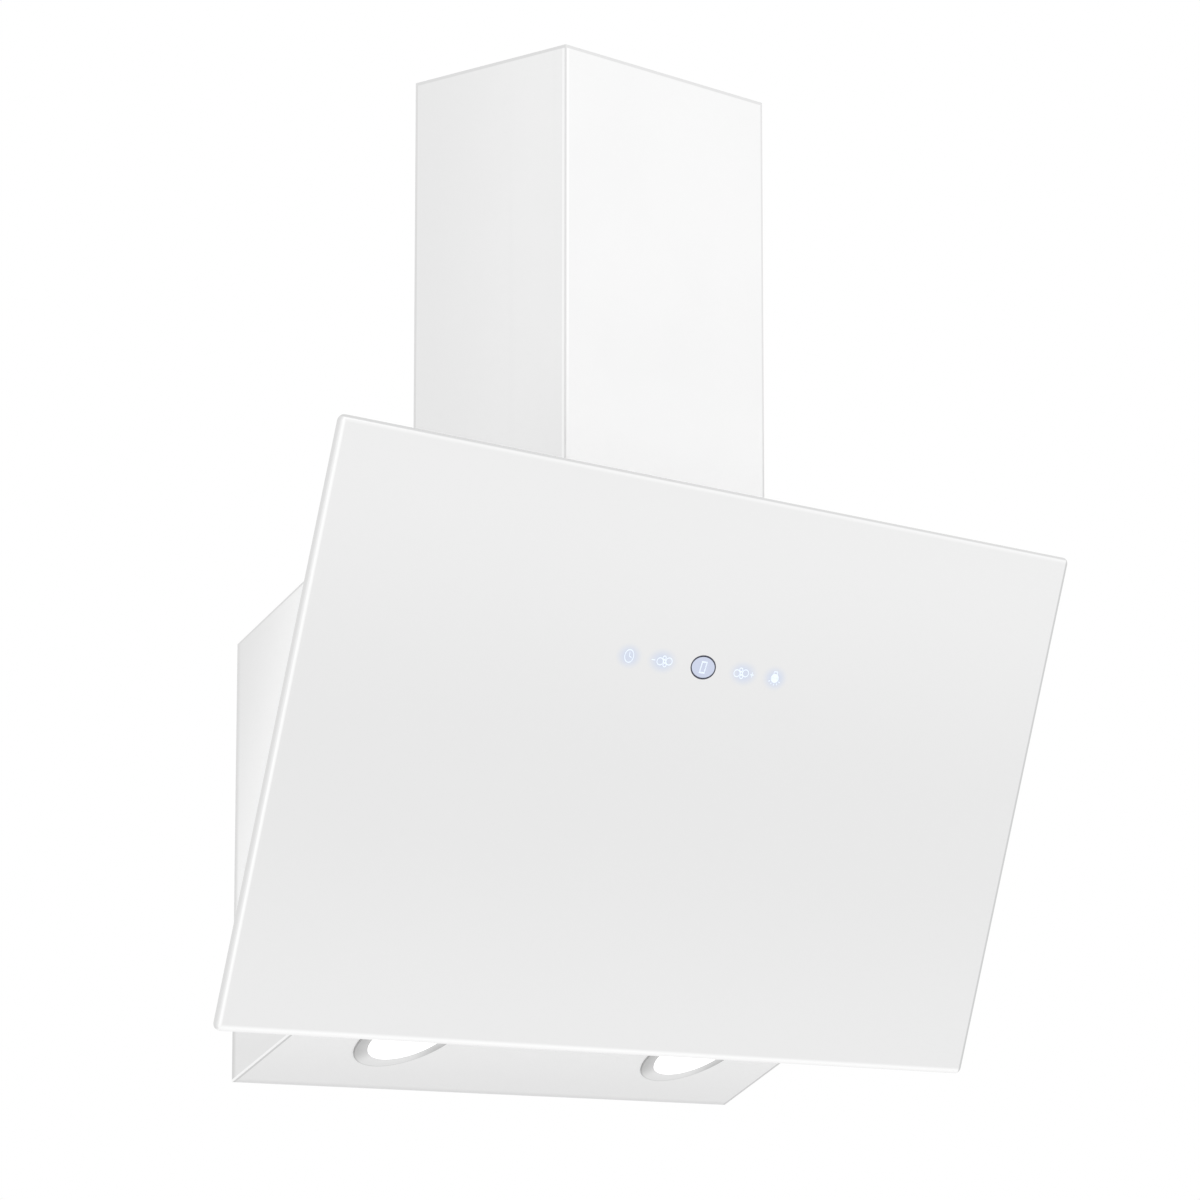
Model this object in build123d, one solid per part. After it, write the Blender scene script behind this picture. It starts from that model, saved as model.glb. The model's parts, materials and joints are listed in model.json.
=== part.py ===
from build123d import *
import os
from math import acos, atan, atan2, cos, degrees, hypot, radians, sin, tan

# Wall-mounted angled range hood, in millimetres.
# X runs to the right, Y towards the wall and Z up. The wall plane is y = 0.
# The origin is the middle of the body's lower back edge.

# Glass door front
glass_width = 898.0
glass_height = 472.0
glass_above_body = 37.359       # glass beyond the body's top front corner
glass_thickness = 8.0
glass_tilt = 16.1               # degrees from upright, top edge forward
glass_reach = 148.5             # wall to the lower front edge
glass_lift = 27.7               # height of the lower front edge
glass_corner_radius = 5.0
glass_bevel = 1.2

# Sheet steel body
body_width = 596.0
body_top_rise = 103.0           # of the sloping top, from its back edge
body_top_slope = 0.56           # rise per millimetre forward
body_bottom_slope = 0.528
sheet = 1.2
seam_flange = 12.0
glass_to_body = 35.0            # glass front face to body front face
hanging_hole_spacing = 440.0
hanging_hole_height = 300.0
hanging_hole_radius = 4.5
securing_hole_spacing = 500.0
securing_hole_height = 60.0
securing_hole_radius = 3.0
bead_spread = 120.0             # stiffening beads of the back panel
bead_width = 16.0
bead_depth = 1.5
bead_ends = (40.0, 290.0)
rivet_radius = 1.6
rivet_head_radius = 3.2
rivet_head_height = 1.2
rivet_count = 4
hinge_rivet_reach = 21.0        # hinge middle to its rivets
bracket_rivets = (-10.0, 7.0)   # heights from the hinge axis
arm_rivets = (-50.0, -20.0)
fold_radius = 0.8

# Grease filters and their pockets
filter_thickness = 9.0
filter_rim = 14.0
filter_low = 76.0               # lower edge, measured up the glass plane
filter_head_room = 38.5         # filter to the body's top front corner
filter_side_room = 33.0         # pocket to the side panel
filter_mesh_thickness = 6.0
filter_clearance = 1.0
pocket_mullion = 12.0
pocket_lip = 8.0
latch_width = 40.0
latch_length = 26.0
latch_thickness = 3.0
latch_bolt_width = 16.0
latch_bolt_reach = 3.5
latch_travel = 6.0
latch_tab_height = 4.5
latch_tab_thickness = 3.0
latch_tab_inset = 4.0
latch_boss_margin = 4.0
filter_end_wall = 3.0

# Door carrier and hinges
carrier_sheet = 1.5
carrier_side_margin = 20.0
carrier_low = 50.0
carrier_border = 45.0
carrier_side_border = 64.0
carrier_flange = 9.0
carrier_bar = 12.0              # left of the sheet above and below the control
hinge_drop = 16.0               # hinge axis below the body's top front corner
hinge_depth = 23.0              # hinge axis behind the glass front face
hinge_pin_radius = 3.0
hinge_ear = 2.5
hinge_ear_radius = 6.0
hinge_knuckle_width = 16.0
hinge_side_gap = 0.5
hinge_plate = 2.0
hinge_plate_width = 60.0
hinge_plate_low = 20.0
hinge_plate_margin = 2.0
pin_head_radius = 4.5
pin_head_width = 2.0
pin_clip_radius = 4.2
pin_clip_width = 1.2
hinge_arm_length = 60.0
running_gap = 0.05
seat_gap = 0.02
body_gap = 0.3                  # between bodies that move past each other
magnet_width = 36.0
magnet_height = 14.0
magnet_spread = 400.0
magnet_low = 56.0

# Touch control
control_drop = 146.0            # centre below the glass's top edge
housing_width = 240.0
housing_height = 46.0
housing_depth = 13.0
housing_wall = 1.5
board_thickness = 1.6
sensor_depth = 3.0
plug_inset = 30.0
plug_width = 20.0
plug_height = 12.0
plug_depth = 7.0
icon_offsets = (-90.0, -50.0, 50.0, 90.0)
icon_radius = 8.0
icon_thickness = 0.2
ring_reach = (15.0, 9.5)        # half width and half height of the oval
ring_line = 1.2
digit_width = 5.0
digit_height = 9.0

# Lamps in the sloping bottom
lamp_spread = 343.0
lamp_front_margin = 4.35        # lamp flange to the slope's front edge
lamp_barrel_radius = 44.0
lamp_flange_width = 5.5
lamp_ring_width = 11.9
lamp_flange_height = 1.0
lamp_flange_bevel = 0.6
lamp_flange_land = 2.0
lamp_proud = 1.1                # lens face beyond the sheet
lamp_lens_thickness = 4.0
lamp_lens_bevel = 0.4
lamp_module_depth = 16.0
lamp_wall = 2.0
fin_count = 7
fin_height = 6.0
fin_thickness = 2.0
fin_margin = 8.0
fin_share = 0.7                 # half length of a fin, as a share of the radius
leaf_sheet = 0.8
leaf_width = 10.0
leaf_height = 8.0
leaf_foot = 7.0

# Blower
blower_height = 262.0
blower_back_gap = 2.8           # scroll flange to the back panel
scroll_half_width = 80.0
scroll_small_gap = 9.0          # impeller to the scroll's small arc
scroll_large_gap = 14.0
scroll_lip = 10.0
scroll_wall = 2.0
scroll_flange = 7.0
scroll_flange_wall = 2.5
scroll_tongue = 10.0
scroll_spare = 40.0             # outlet drawn past the body's top before trimming
small_arc_screws = (30, -50)    # degrees
large_arc_screws = (-130, -172)
impeller_radius = 58.0
impeller_blade_depth = 10.0
impeller_end_gap = 6.0
impeller_end_ring = 2.0
impeller_disc = 2.5
impeller_hub_radius = 9.0
impeller_hub = (-4.0, 14.0)
blade_inset = 0.6
blade_thickness = 1.2
blade_count = 30
blade_angle = 35.0
motor_radius = 34.0
motor_front = -8.0
motor_slots = 12
motor_slot = (30.0, 3.0, 8.0)
motor_boss_radius = 12.0
motor_boss = 3.0
motor_bore_low = -40.0
shaft_radius = 4.0
shaft_ends = (-36.0, 18.0)
motor_bracket_sheet = 2.0
motor_bracket_arm = 14.0
bush_margin = 2.0
bush_radius = 7.0
bush_length = 6.0
bush_inset = 8.0                # bush centres outside the inlet's edge
bush_angles = (90, 210, 330)
grille_radii = (16.0, 32.0)
grille_bar = 2.4
screw_radius = 2.0
screw_head_radius = 4.0
screw_head_height = 2.0
flange_screw_head = 3.2
flange_screw_tip = 3.0

# Outlet
plenum_rim = 1.0                # collar flange to the plenum's edge
plenum_rise = 22.0              # above the body's top
plenum_wall = 2.0
collar_radius = 74.5
collar_wall = 2.0
collar_height = 48.0
collar_flange = 4.5
flap_thickness = 1.5
flap_height = 12.0              # flap axis above the plenum
flap_axis_offset = 5.0
flap_edge_gap = 1.5
flap_pin_radius = 2.0
flap_ledge = 2.5
flap_ledge_thickness = 1.5
flap_ledge_break = 20.0         # half the gap in the ledge at the pins
flap_pin_inset = 0.5
flap_middle_gap = 1.0

# Chimney covers
chimney_width = 248.0
chimney_depth = 175.0
chimney_wall_gap = 25.0
chimney_top = 850.0
cover_sheet = 1.0
cover_slide_gap = 0.8
inner_rise = 50.0               # lower edge of the inner cover above the body
inner_top_drop = 2.0
bracket_height = 30.0
bracket_sheet = 1.5
bracket_top_drop = 25.0
bracket_arm = 60.0
bracket_bend = 32.0             # wall to where the arms lie on the cover's sides
bracket_strap_width = 176.0
bracket_hole_spacing = 120.0
bracket_hole_radius = 3.5
tab_length = 90.0
tab_back = 55.0
tab_height = 24.0
tab_foot = 18.0
tab_screw_shares = (0.2, 0.8)   # of the tab's length
tab_screw_length = 8.0
tab_screw_head_height = 1.6

# Electrical pieces
terminal_width = 100.0
terminal_height = 70.0
terminal_depth = 35.0
terminal_wall = 2.0
lid_lip = 2.0
terminal_x = -170.0
driver_width = 120.0
driver_height = 48.0
driver_depth = 26.0
driver_x = 185.0
driver_ear = 14.0
driver_ear_sheet = 2.0
driver_edge = 3.0
electrics_height = 262.0
capacitor_radius = 17.0
capacitor_length = 62.0
capacitor_cap_radius = 5.5
capacitor_cap_height = 5.0
capacitor_x = -250.0
capacitor_height = 230.0
saddle_height = 16.0
saddle_margin = 8.0
saddle_sheet = 2.0
gland_x = 100.0
gland_from_wall = 42.0          # measured along the top slope
gland_bore_radius = 4.0
gland_thread_radius = 8.0
gland_hex_radius = 11.0
gland_thread_length = 8.0
gland_nut = 5.0
gland_dome = 9.0
gland_lock_nut = 4.0
lead_radius = 2.5
lead_from_wall = 14.0
lead_bend_share = 0.45          # of the shorter run, taken up by a bend
far_lead_x = 215.0
clip_places = (-110.0, 20.0, 140.0)
clip_width = 10.0
clip_wall = 2.0

# Values that follow from the driving dimensions
tilt = radians(glass_tilt)
half_body = body_width / 2
half_inside = half_body - sheet
lamp_flange_radius = lamp_barrel_radius + lamp_flange_width
lamp_lens_radius = lamp_flange_radius - lamp_ring_width
scroll_small = impeller_radius + scroll_small_gap
scroll_large = impeller_radius + scroll_large_gap
blower_from_wall = sheet + blower_back_gap + scroll_flange + scroll_wall + scroll_small
inlet_radius = impeller_radius - impeller_blade_depth
impeller_half_length = scroll_half_width - scroll_wall - impeller_end_gap
bush_circle = inlet_radius + bush_inset
collar_flange_radius = collar_radius + collar_flange
plenum_width = 2 * (scroll_half_width + plenum_wall)
plenum_depth = 2 * (collar_flange_radius + plenum_rim)
chimney_centre_y = -(chimney_wall_gap + chimney_depth / 2)
chimney_front_y = -(chimney_wall_gap + chimney_depth)
bottom_angle = atan(body_bottom_slope)
top_angle = atan(body_top_slope)
face_run = glass_reach - glass_to_body * cos(tilt)
face_rise = glass_lift + glass_to_body * sin(tilt)
front_low = (body_bottom_slope * face_run - face_rise) / (cos(tilt) - body_bottom_slope * sin(tilt))
front_high = glass_height - glass_above_body
body_top_height = face_rise + front_high * cos(tilt)
body_back_height = body_top_height - body_top_rise
bottom_run = (face_run + front_low * sin(tilt)) / cos(bottom_angle)
lamp_from_wall = bottom_run - lamp_flange_radius - lamp_front_margin
control_height = glass_height - control_drop
plenum_top = body_top_height + plenum_rise
inner_bottom = body_top_height + inner_rise
hinge_up = front_high - hinge_drop
hinge_x = half_body - carrier_side_margin - carrier_side_border / 2
top_run = body_top_rise / body_top_slope
filter_height = front_high - filter_head_room - filter_low
filter_width = half_inside - filter_side_room - pocket_mullion / 2 - 2 * filter_clearance
pocket_depth = filter_thickness + filter_clearance / 2
filter_face = -glass_to_body - filter_clearance / 2

# Working planes: the glass plane, the sloping bottom and the sloping top
glass_plane = Plane(origin=(0, -glass_reach, glass_lift), x_dir=(1, 0, 0), z_dir=(0, -cos(tilt), -sin(tilt)))
bottom_plane = Plane(origin=(0, 0, 0), x_dir=(1, 0, 0), z_dir=(0, -sin(bottom_angle), -cos(bottom_angle)))
top_plane = Plane(
    origin=(0, 0, body_back_height), x_dir=(1, 0, 0), z_dir=(0, sin(top_angle), cos(top_angle))
)


def block(x, y, z, plane=Plane.XY):
    """A box given by its lowest and highest value on each axis of a plane."""
    centre = Pos((x[0] + x[1]) / 2, (y[0] + y[1]) / 2, (z[0] + z[1]) / 2)
    return plane * centre * Box(x[1] - x[0], y[1] - y[0], z[1] - z[0])


def around(centre, half):
    """The range that lies half each side of a centre."""
    return (centre - half, centre + half)


def prism_x(points, low, high):
    """A side outline of (y, z) points, carried along X."""
    face = Plane.YZ * Polygon(*points, align=None)
    return Pos(low, 0, 0) * extrude(face, amount=high - low)


def rod_x(radius, low, high, y, z):
    """A round bar along X."""
    return Pos((low + high) / 2, y, z) * Rot(0, 90, 0) * Cylinder(radius, high - low)


def rod_z(radius, low, high, x=0.0, y=0.0, plane=Plane.XY):
    """A round bar along the Z of a plane."""
    return plane * Pos(x, y, (low + high) / 2) * Cylinder(radius, high - low)


def flip(shape):
    """The same piece on the other side of the hood."""
    return mirror(shape, about=Plane.YZ)


def glass_point(up, out):
    """The (y, z) of a point given up the glass plane and out of its front."""
    y = -glass_reach - up * sin(tilt) - out * cos(tilt)
    z = glass_lift + up * cos(tilt) - out * sin(tilt)
    return (y, z)


def body_profile(inset):
    """Side outline of the body, moved inwards by inset. Back bottom corner first."""
    outline = [
        (0.0, 0.0),
        (0.0, body_back_height),
        (-top_run, body_top_height),
        glass_point(front_high, -glass_to_body),
        glass_point(front_low, -glass_to_body),
    ]
    if inset == 0:
        return outline
    lines = []
    for start, end in zip(outline, outline[1:] + outline[:1]):
        run, rise = end[0] - start[0], end[1] - start[1]
        length = hypot(run, rise)
        normal = (-rise / length, run / length)
        lines.append((normal, normal[0] * start[0] + normal[1] * start[1] + inset))
    corners = []
    for (first, a), (second, b) in zip([lines[-1]] + lines[:-1], lines):
        det = first[0] * second[1] - first[1] * second[0]
        corners.append(((a * second[1] - b * first[1]) / det, (first[0] * b - second[0] * a) / det))
    return corners


outer_corners = body_profile(0)
skin_corners = body_profile(sheet)


def skin_strip(first, last, deep=sheet):
    """One run of the body's skin between two corners, mitred at its ends."""
    inner = body_profile(deep)
    ring = len(outer_corners)
    order = [i % ring for i in range(first, last + 1)]
    points = [outer_corners[i] for i in order] + [inner[i] for i in reversed(order)]
    return prism_x(points, -half_inside, half_inside)


# Body shell

def hole_row(spacing, height, radius):
    """Two round holes through the back panel."""
    return [Pos(x, 0, height) * Rot(90, 0, 0) * Cylinder(radius, 4 * sheet) for x in (-spacing / 2, spacing / 2)]


def bead(x, width, low, high):
    """A long rounded pad for a stiffening bead, standing in from y = low to high."""
    slot = SlotOverall(bead_ends[1] - bead_ends[0] + width - bead_width, width, rotation=90)
    return Pos(x, high, sum(bead_ends) / 2) * extrude(Plane.XZ * slot, amount=high - low)


def make_back_panel():
    panel = skin_strip(0, 1)
    for x in (-bead_spread / 2, bead_spread / 2):
        panel += bead(x, bead_width, -sheet - bead_depth, -sheet / 2)
        panel -= bead(x, bead_width - 2 * sheet, -bead_depth, sheet)
    panel -= hole_row(hanging_hole_spacing, hanging_hole_height, hanging_hole_radius)
    panel -= hole_row(securing_hole_spacing, securing_hole_height, securing_hole_radius)
    return panel


def rivet_places():
    """Rivet centres on the sloping top, as places on the top plane."""
    x = half_inside - seam_flange / 2
    pitch = top_run / cos(top_angle) / rivet_count
    return [(side * x, -pitch * (i + 0.5)) for side in (-1, 1) for i in range(rivet_count)]


def rivet_holes():
    radius = rivet_radius + seat_gap
    return [rod_z(radius, -3 * sheet, sheet, x, y, top_plane) for x, y in rivet_places()]


def make_side_panel():
    """Right side: a plate with a flange turned in behind the other panels."""
    plate = prism_x(outer_corners, half_inside, half_body)
    plate = fillet(plate.faces().sort_by(Axis.X)[-1].edges(), fold_radius)
    ring = prism_x(skin_corners, half_inside - seam_flange, half_inside)
    ring -= prism_x(body_profile(2 * sheet), half_inside - 2 * seam_flange, half_inside + sheet / 2)
    return plate + ring - rivet_holes()


def rivet(place, length):
    """A rivet with a rounded head that sits on the XY of a place."""
    head = rod_z(rivet_head_radius, 0, rivet_head_height)
    head = fillet(head.edges().group_by(Axis.Z)[-1], rivet_head_height / 2)
    return place * (head + rod_z(rivet_radius, -length, 0))


def hinge_rivet_places(heights):
    """Rivet centres of both hinges on the glass plane, at heights from the hinge axis."""
    return [
        (side * hinge_x + turn * hinge_rivet_reach, hinge_up + up)
        for side in (-1, 1)
        for turn in (-1, 1)
        for up in heights
    ]


def hinge_rivet_holes(heights):
    radius = rivet_radius + seat_gap
    return [rod_z(radius, -2 * glass_to_body, 0, x, up, glass_plane) for x, up in hinge_rivet_places(heights)]


def make_body_rivets():
    top = Location(top_plane)
    front = Location(glass_plane) * Pos(0, 0, hinge_plate - glass_to_body)
    rivets = [rivet(top * Pos(x, y, 0), 2 * sheet) for x, y in rivet_places()]
    rivets += [rivet(front * Pos(x, up, 0), hinge_plate + sheet) for x, up in hinge_rivet_places(bracket_rivets)]
    return Compound(children=rivets)


def make_door_rivets():
    """Rivets that join the hinge arms to the carrier, heads towards the body."""
    base = Location(glass_plane) * Pos(0, 0, carrier_back - hinge_plate)
    turned = [base * Pos(x, up, 0) * Rot(180, 0, 0) for x, up in hinge_rivet_places(arm_rivets)]
    return Compound(children=[rivet(place, hinge_plate + carrier_sheet) for place in turned])


def outlet_range():
    """Front to back range of the scroll's outlet."""
    return (-blower_from_wall - scroll_large, -blower_from_wall + scroll_tongue)


def gland_hole(radius):
    return rod_z(radius, -8 * sheet, 8 * sheet, gland_x, -gland_from_wall, top_plane)


def make_top_panel():
    panel = skin_strip(1, 3)
    heights = (body_back_height - body_top_height, 2 * body_top_height)
    inside = scroll_half_width - scroll_wall
    panel -= block((-inside, inside), outlet_range(), heights)
    panel -= gland_hole(gland_thread_radius + body_gap)
    return panel - rivet_holes()


def make_light_panel():
    panel = skin_strip(4, 5)
    for x in (-lamp_spread / 2, lamp_spread / 2):
        panel -= rod_z(lamp_barrel_radius + body_gap, -3 * sheet, 3 * sheet, x, lamp_from_wall, bottom_plane)
    return panel


# Filter pockets in the front frame

pocket_x = (pocket_mullion / 2, pocket_mullion / 2 + filter_width + 2 * filter_clearance)
pocket_up = (filter_low - filter_clearance, filter_low + filter_height + filter_clearance)
filter_x = (pocket_x[0] + filter_clearance, pocket_x[1] - filter_clearance)
filter_up = (filter_low, filter_low + filter_height)
latch_x = (filter_x[0] + filter_x[1]) / 2
boss_x = (latch_x - latch_width / 2 - latch_boss_margin, latch_x + latch_width / 2 + latch_boss_margin)
boss_low = filter_up[1] - latch_length - latch_travel - filter_end_wall


def grow(span, amount):
    return (span[0] - amount, span[1] + amount)


def make_front_frame():
    frame = skin_strip(3, 4)
    back = -glass_to_body - pocket_depth
    tray = block(grow(pocket_x, sheet), grow(pocket_up, sheet), (back - sheet, -glass_to_body), glass_plane)
    pocket = block(pocket_x, pocket_up, (back, -glass_to_body + sheet), glass_plane)
    window = block(grow(pocket_x, -pocket_lip), grow(pocket_up, -pocket_lip), (back - 2 * sheet, 0), glass_plane)
    bolt = latch_bolt_width / 2 + filter_clearance
    bolt_depth = around(filter_face - filter_thickness / 2, latch_thickness / 2 + filter_clearance)
    slot = block(around(latch_x, bolt), around(pocket_up[1], 2 * sheet), bolt_depth, glass_plane)
    solid_tray = tray - pocket - window - slot
    frame -= [tray, flip(tray)]
    return frame + solid_tray + flip(solid_tray) - hinge_rivet_holes(bracket_rivets)


# Grease filters, on the right side

def make_filter_frame():
    depth = (filter_face - filter_thickness, filter_face)
    frame = block(filter_x, filter_up, depth, glass_plane)
    frame -= block(grow(filter_x, -filter_rim), grow(filter_up, -filter_rim), grow(depth, 1), glass_plane)
    boss = block(boss_x, (boss_low, filter_up[1]), depth, glass_plane)
    middle = filter_face - filter_thickness / 2
    channel_depth = (middle - latch_thickness / 2 - body_gap, filter_face + 1)
    channel_low = filter_up[1] - latch_length - latch_travel - body_gap
    channel_x = around(latch_x, latch_width / 2 + body_gap)
    channel = block(channel_x, (channel_low, filter_up[1] - filter_end_wall), channel_depth, glass_plane)
    exit_x = around(latch_x, latch_bolt_width / 2 + body_gap)
    exit_slot = block(exit_x, (channel_low, filter_up[1] + 1), channel_depth, glass_plane)
    return frame + boss - channel - exit_slot


def make_filter_mesh():
    middle = filter_face - filter_thickness / 2
    mesh = block(
        grow(filter_x, -filter_rim), grow(filter_up, -filter_rim), around(middle, filter_mesh_thickness / 2), glass_plane
    )
    return mesh - block(boss_x, (boss_low, filter_up[1]), around(middle, filter_thickness), glass_plane)


def make_filter_latch():
    middle = filter_face - filter_thickness / 2
    depth = around(middle, latch_thickness / 2)
    high = filter_up[1] - filter_end_wall - body_gap
    plate = block(around(latch_x, latch_width / 2), (filter_up[1] - latch_length, high), depth, glass_plane)
    bolt_high = filter_up[1] + latch_bolt_reach
    bolt = block(around(latch_x, latch_bolt_width / 2), (high - 1, bolt_high), depth, glass_plane)
    tab_low = filter_up[1] - latch_length + latch_tab_inset
    tab_up = (tab_low, tab_low + latch_tab_thickness)
    tab = block(around(latch_x, latch_width / 3), tab_up, (middle, middle + latch_tab_height), glass_plane)
    return plate + bolt + tab


# Glass door

def make_glass():
    plate = extrude(RectangleRounded(glass_width, glass_height, glass_corner_radius), amount=-glass_thickness)
    faces = plate.faces().sort_by(Axis.Z)
    plate = chamfer(faces[0].edges() + faces[-1].edges(), glass_bevel)
    return glass_plane * Pos(0, glass_height / 2, 0) * plate


carrier_x = half_body - carrier_side_margin
carrier_up = (carrier_low, hinge_up + hinge_ear_radius)
carrier_back = -glass_thickness - carrier_sheet


def make_carrier():
    sheet_depth = (carrier_back, -glass_thickness)
    frame = block((-carrier_x, carrier_x), carrier_up, sheet_depth, glass_plane)
    bar = around(control_height, housing_height / 2 + carrier_bar)
    window_x = around(0, carrier_x - carrier_side_border)
    low_window = (carrier_low + carrier_border, bar[0])
    high_window = (bar[1], carrier_up[1] - carrier_border / 2)
    for window in (low_window, high_window):
        frame -= block(window_x, window, grow(sheet_depth, 1), glass_plane)
    housing_x = around(0, housing_width / 2)
    frame -= block(housing_x, around(control_height, housing_height / 2), grow(sheet_depth, 1), glass_plane)
    flange_depth = (carrier_back - carrier_flange, carrier_back)
    for side in (-1, 1):
        edge = sorted((side * carrier_x, side * (carrier_x - carrier_sheet)))
        frame += block(edge, carrier_up, flange_depth, glass_plane)
    edge = (carrier_low, carrier_low + carrier_sheet)
    frame += block((-carrier_x, carrier_x), edge, flange_depth, glass_plane)
    return frame - hinge_rivet_holes(arm_rivets)


def make_touch_housing():
    depth = (-glass_thickness - housing_depth, -glass_thickness)
    half = housing_width / 2
    up = around(control_height, housing_height / 2)
    shell = block((-half, half), up, depth, glass_plane)
    inside = (depth[0] + housing_wall, 1 - glass_thickness)
    return shell - block(around(0, half - housing_wall), grow(up, -housing_wall), inside, glass_plane)


def make_touch_board():
    front = -glass_thickness - seat_gap
    back = front - board_thickness
    half = housing_width / 2 - housing_wall - seat_gap
    up = around(control_height, housing_height / 2 - housing_wall - seat_gap)
    board = block((-half, half), up, (back, front), glass_plane)
    for x in icon_offsets + (0.0,):
        sensor = around(control_height, icon_radius)
        board += block(around(x, icon_radius), sensor, (back - sensor_depth, back), glass_plane)
    plug_x = (housing_width / 2 - plug_inset, housing_width / 2 - plug_inset + plug_width)
    plug_up = around(control_height, plug_height / 2)
    return board + block(plug_x, plug_up, (back - plug_depth, back), glass_plane)


def make_touch_icons():
    icons = [rod_z(icon_radius, 0, icon_thickness, x, control_height, glass_plane) for x in icon_offsets]
    return Compound(children=icons)


def make_display_ring():
    outer, inner = [Ellipse(*(reach + side * ring_line / 2 for reach in ring_reach)) for side in (1, -1)]
    return glass_plane * Pos(0, control_height, 0) * extrude(outer - inner, amount=icon_thickness)


def make_display_digit():
    up = around(control_height, digit_height / 2)
    digit = block(around(0, digit_width / 2), up, (0, icon_thickness), glass_plane)
    inner = block(around(0, digit_width / 2 - ring_line), grow(up, -ring_line), (-1, 1), glass_plane)
    return digit - inner


def make_door_magnets():
    up = (magnet_low, magnet_low + magnet_height)
    depth = (-glass_to_body + body_gap, carrier_back)
    return Compound(
        children=[
            block(around(side * magnet_spread / 2, magnet_width / 2), up, depth, glass_plane) for side in (-1, 1)
        ]
    )


# Hinges, on the right side

def hinge_bar(radius, low, high):
    """A round bar on the hinge axis, between two distances from the hinge's middle."""
    y, z = glass_point(hinge_up, -hinge_depth)
    return rod_x(radius, hinge_x + low, hinge_x + high, y, z)


def hinge_lug(low, high, base):
    """A lug with a round end on the hinge axis, standing on a plate at base."""
    x = (hinge_x + low, hinge_x + high)
    foot = block(x, around(hinge_up, hinge_ear_radius), sorted((base, -hinge_depth)), glass_plane)
    return foot + hinge_bar(hinge_ear_radius, low, high)


def make_hinge_bracket():
    base = -glass_to_body + hinge_plate
    up = (hinge_up - hinge_plate_low, hinge_up + hinge_drop - hinge_plate_margin)
    bracket = block(around(hinge_x, hinge_plate_width / 2), up, (-glass_to_body, base), glass_plane)
    near = hinge_knuckle_width / 2 + hinge_side_gap
    for low, high in ((near, near + hinge_ear), (-near - hinge_ear, -near)):
        bracket += hinge_lug(low, high, base)
    bracket -= hinge_rivet_holes(bracket_rivets)
    return bracket - hinge_bar(hinge_pin_radius + seat_gap, -hinge_plate_width, hinge_plate_width)


def make_hinge_arm():
    base = carrier_back - hinge_plate
    up = (hinge_up - hinge_arm_length, hinge_up + hinge_ear_radius)
    arm = block(around(hinge_x, hinge_plate_width / 2), up, (base, carrier_back), glass_plane)
    arm += hinge_lug(-hinge_knuckle_width / 2, hinge_knuckle_width / 2, base)
    arm -= hinge_rivet_holes(arm_rivets)
    return arm - hinge_bar(hinge_pin_radius + running_gap, -hinge_plate_width, hinge_plate_width)


def make_hinge_pins():
    end = hinge_knuckle_width / 2 + hinge_side_gap + hinge_ear
    pin = hinge_bar(hinge_pin_radius, -end - pin_clip_width, end)
    pin += hinge_bar(pin_head_radius, end, end + pin_head_width)
    pin += hinge_bar(pin_clip_radius, -end - pin_clip_width, -end)
    return Compound(children=[pin, flip(pin)])


# Lamps, on the right side

lamp_place = bottom_plane * Pos(lamp_spread / 2, lamp_from_wall, 0)


def turned(points, place):
    """A ring or disc turned from (radius, height) points about a place's Z."""
    face = Plane.XZ * Polygon(*points, align=None)
    return place * revolve(face, axis=Axis.Z)


def make_lamp_bezel():
    seat = lamp_proud - lamp_wall
    bore = lamp_barrel_radius - lamp_wall
    points = [
        (lamp_flange_radius, 0.0),
        (lamp_flange_radius, lamp_flange_height - lamp_flange_bevel),
        (lamp_flange_radius - lamp_flange_bevel, lamp_flange_height),
        (lamp_flange_radius - lamp_flange_land, lamp_flange_height),
        (lamp_lens_radius, lamp_proud),
        (lamp_lens_radius, seat),
        (bore, seat),
        (bore, lamp_proud - lamp_module_depth / 2),
        (lamp_barrel_radius, lamp_proud - lamp_module_depth / 2),
        (lamp_barrel_radius, 0.0),
    ]
    return turned(points, lamp_place)


def make_lamp_lens():
    seat = lamp_proud - lamp_wall
    face_radius = lamp_lens_radius - seat_gap
    flange_radius = lamp_barrel_radius - lamp_wall - seat_gap
    bottom = seat - lamp_lens_thickness / 2
    points = [
        (0, bottom),
        (flange_radius, bottom),
        (flange_radius, seat),
        (face_radius, seat),
        (face_radius, seat + lamp_wall - lamp_lens_bevel),
        (face_radius - lamp_lens_bevel, seat + lamp_wall),
        (0, seat + lamp_wall),
    ]
    return turned(points, lamp_place)


def make_lamp_module():
    top = lamp_proud - lamp_wall - lamp_lens_thickness / 2
    radius = lamp_barrel_radius - lamp_wall - seat_gap
    deep = top - lamp_module_depth
    can = lamp_place * rod_z(radius, deep + fin_height, top)
    for i in range(fin_count):
        x = (i - (fin_count - 1) / 2) * 2 * (radius - fin_margin) / fin_count
        fin = block(around(x, fin_thickness / 2), around(0, radius * fin_share), (deep, deep + fin_height))
        can += lamp_place * fin
    return can


def make_lamp_clips():
    clips = []
    for turn in (0, 90, 180, 270):
        inner = lamp_barrel_radius + seat_gap
        side = around(0, leaf_width / 2)
        leaf = block((inner, inner + leaf_sheet), side, (-sheet - leaf_height, -sheet))
        foot = block((inner + leaf_sheet, inner + leaf_foot), side, (-sheet - leaf_sheet, -sheet))
        clips.append(lamp_place * Rot(0, 0, turn) * (leaf + foot))
    return Compound(children=clips + [flip(clip) for clip in clips])


# Blower

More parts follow.
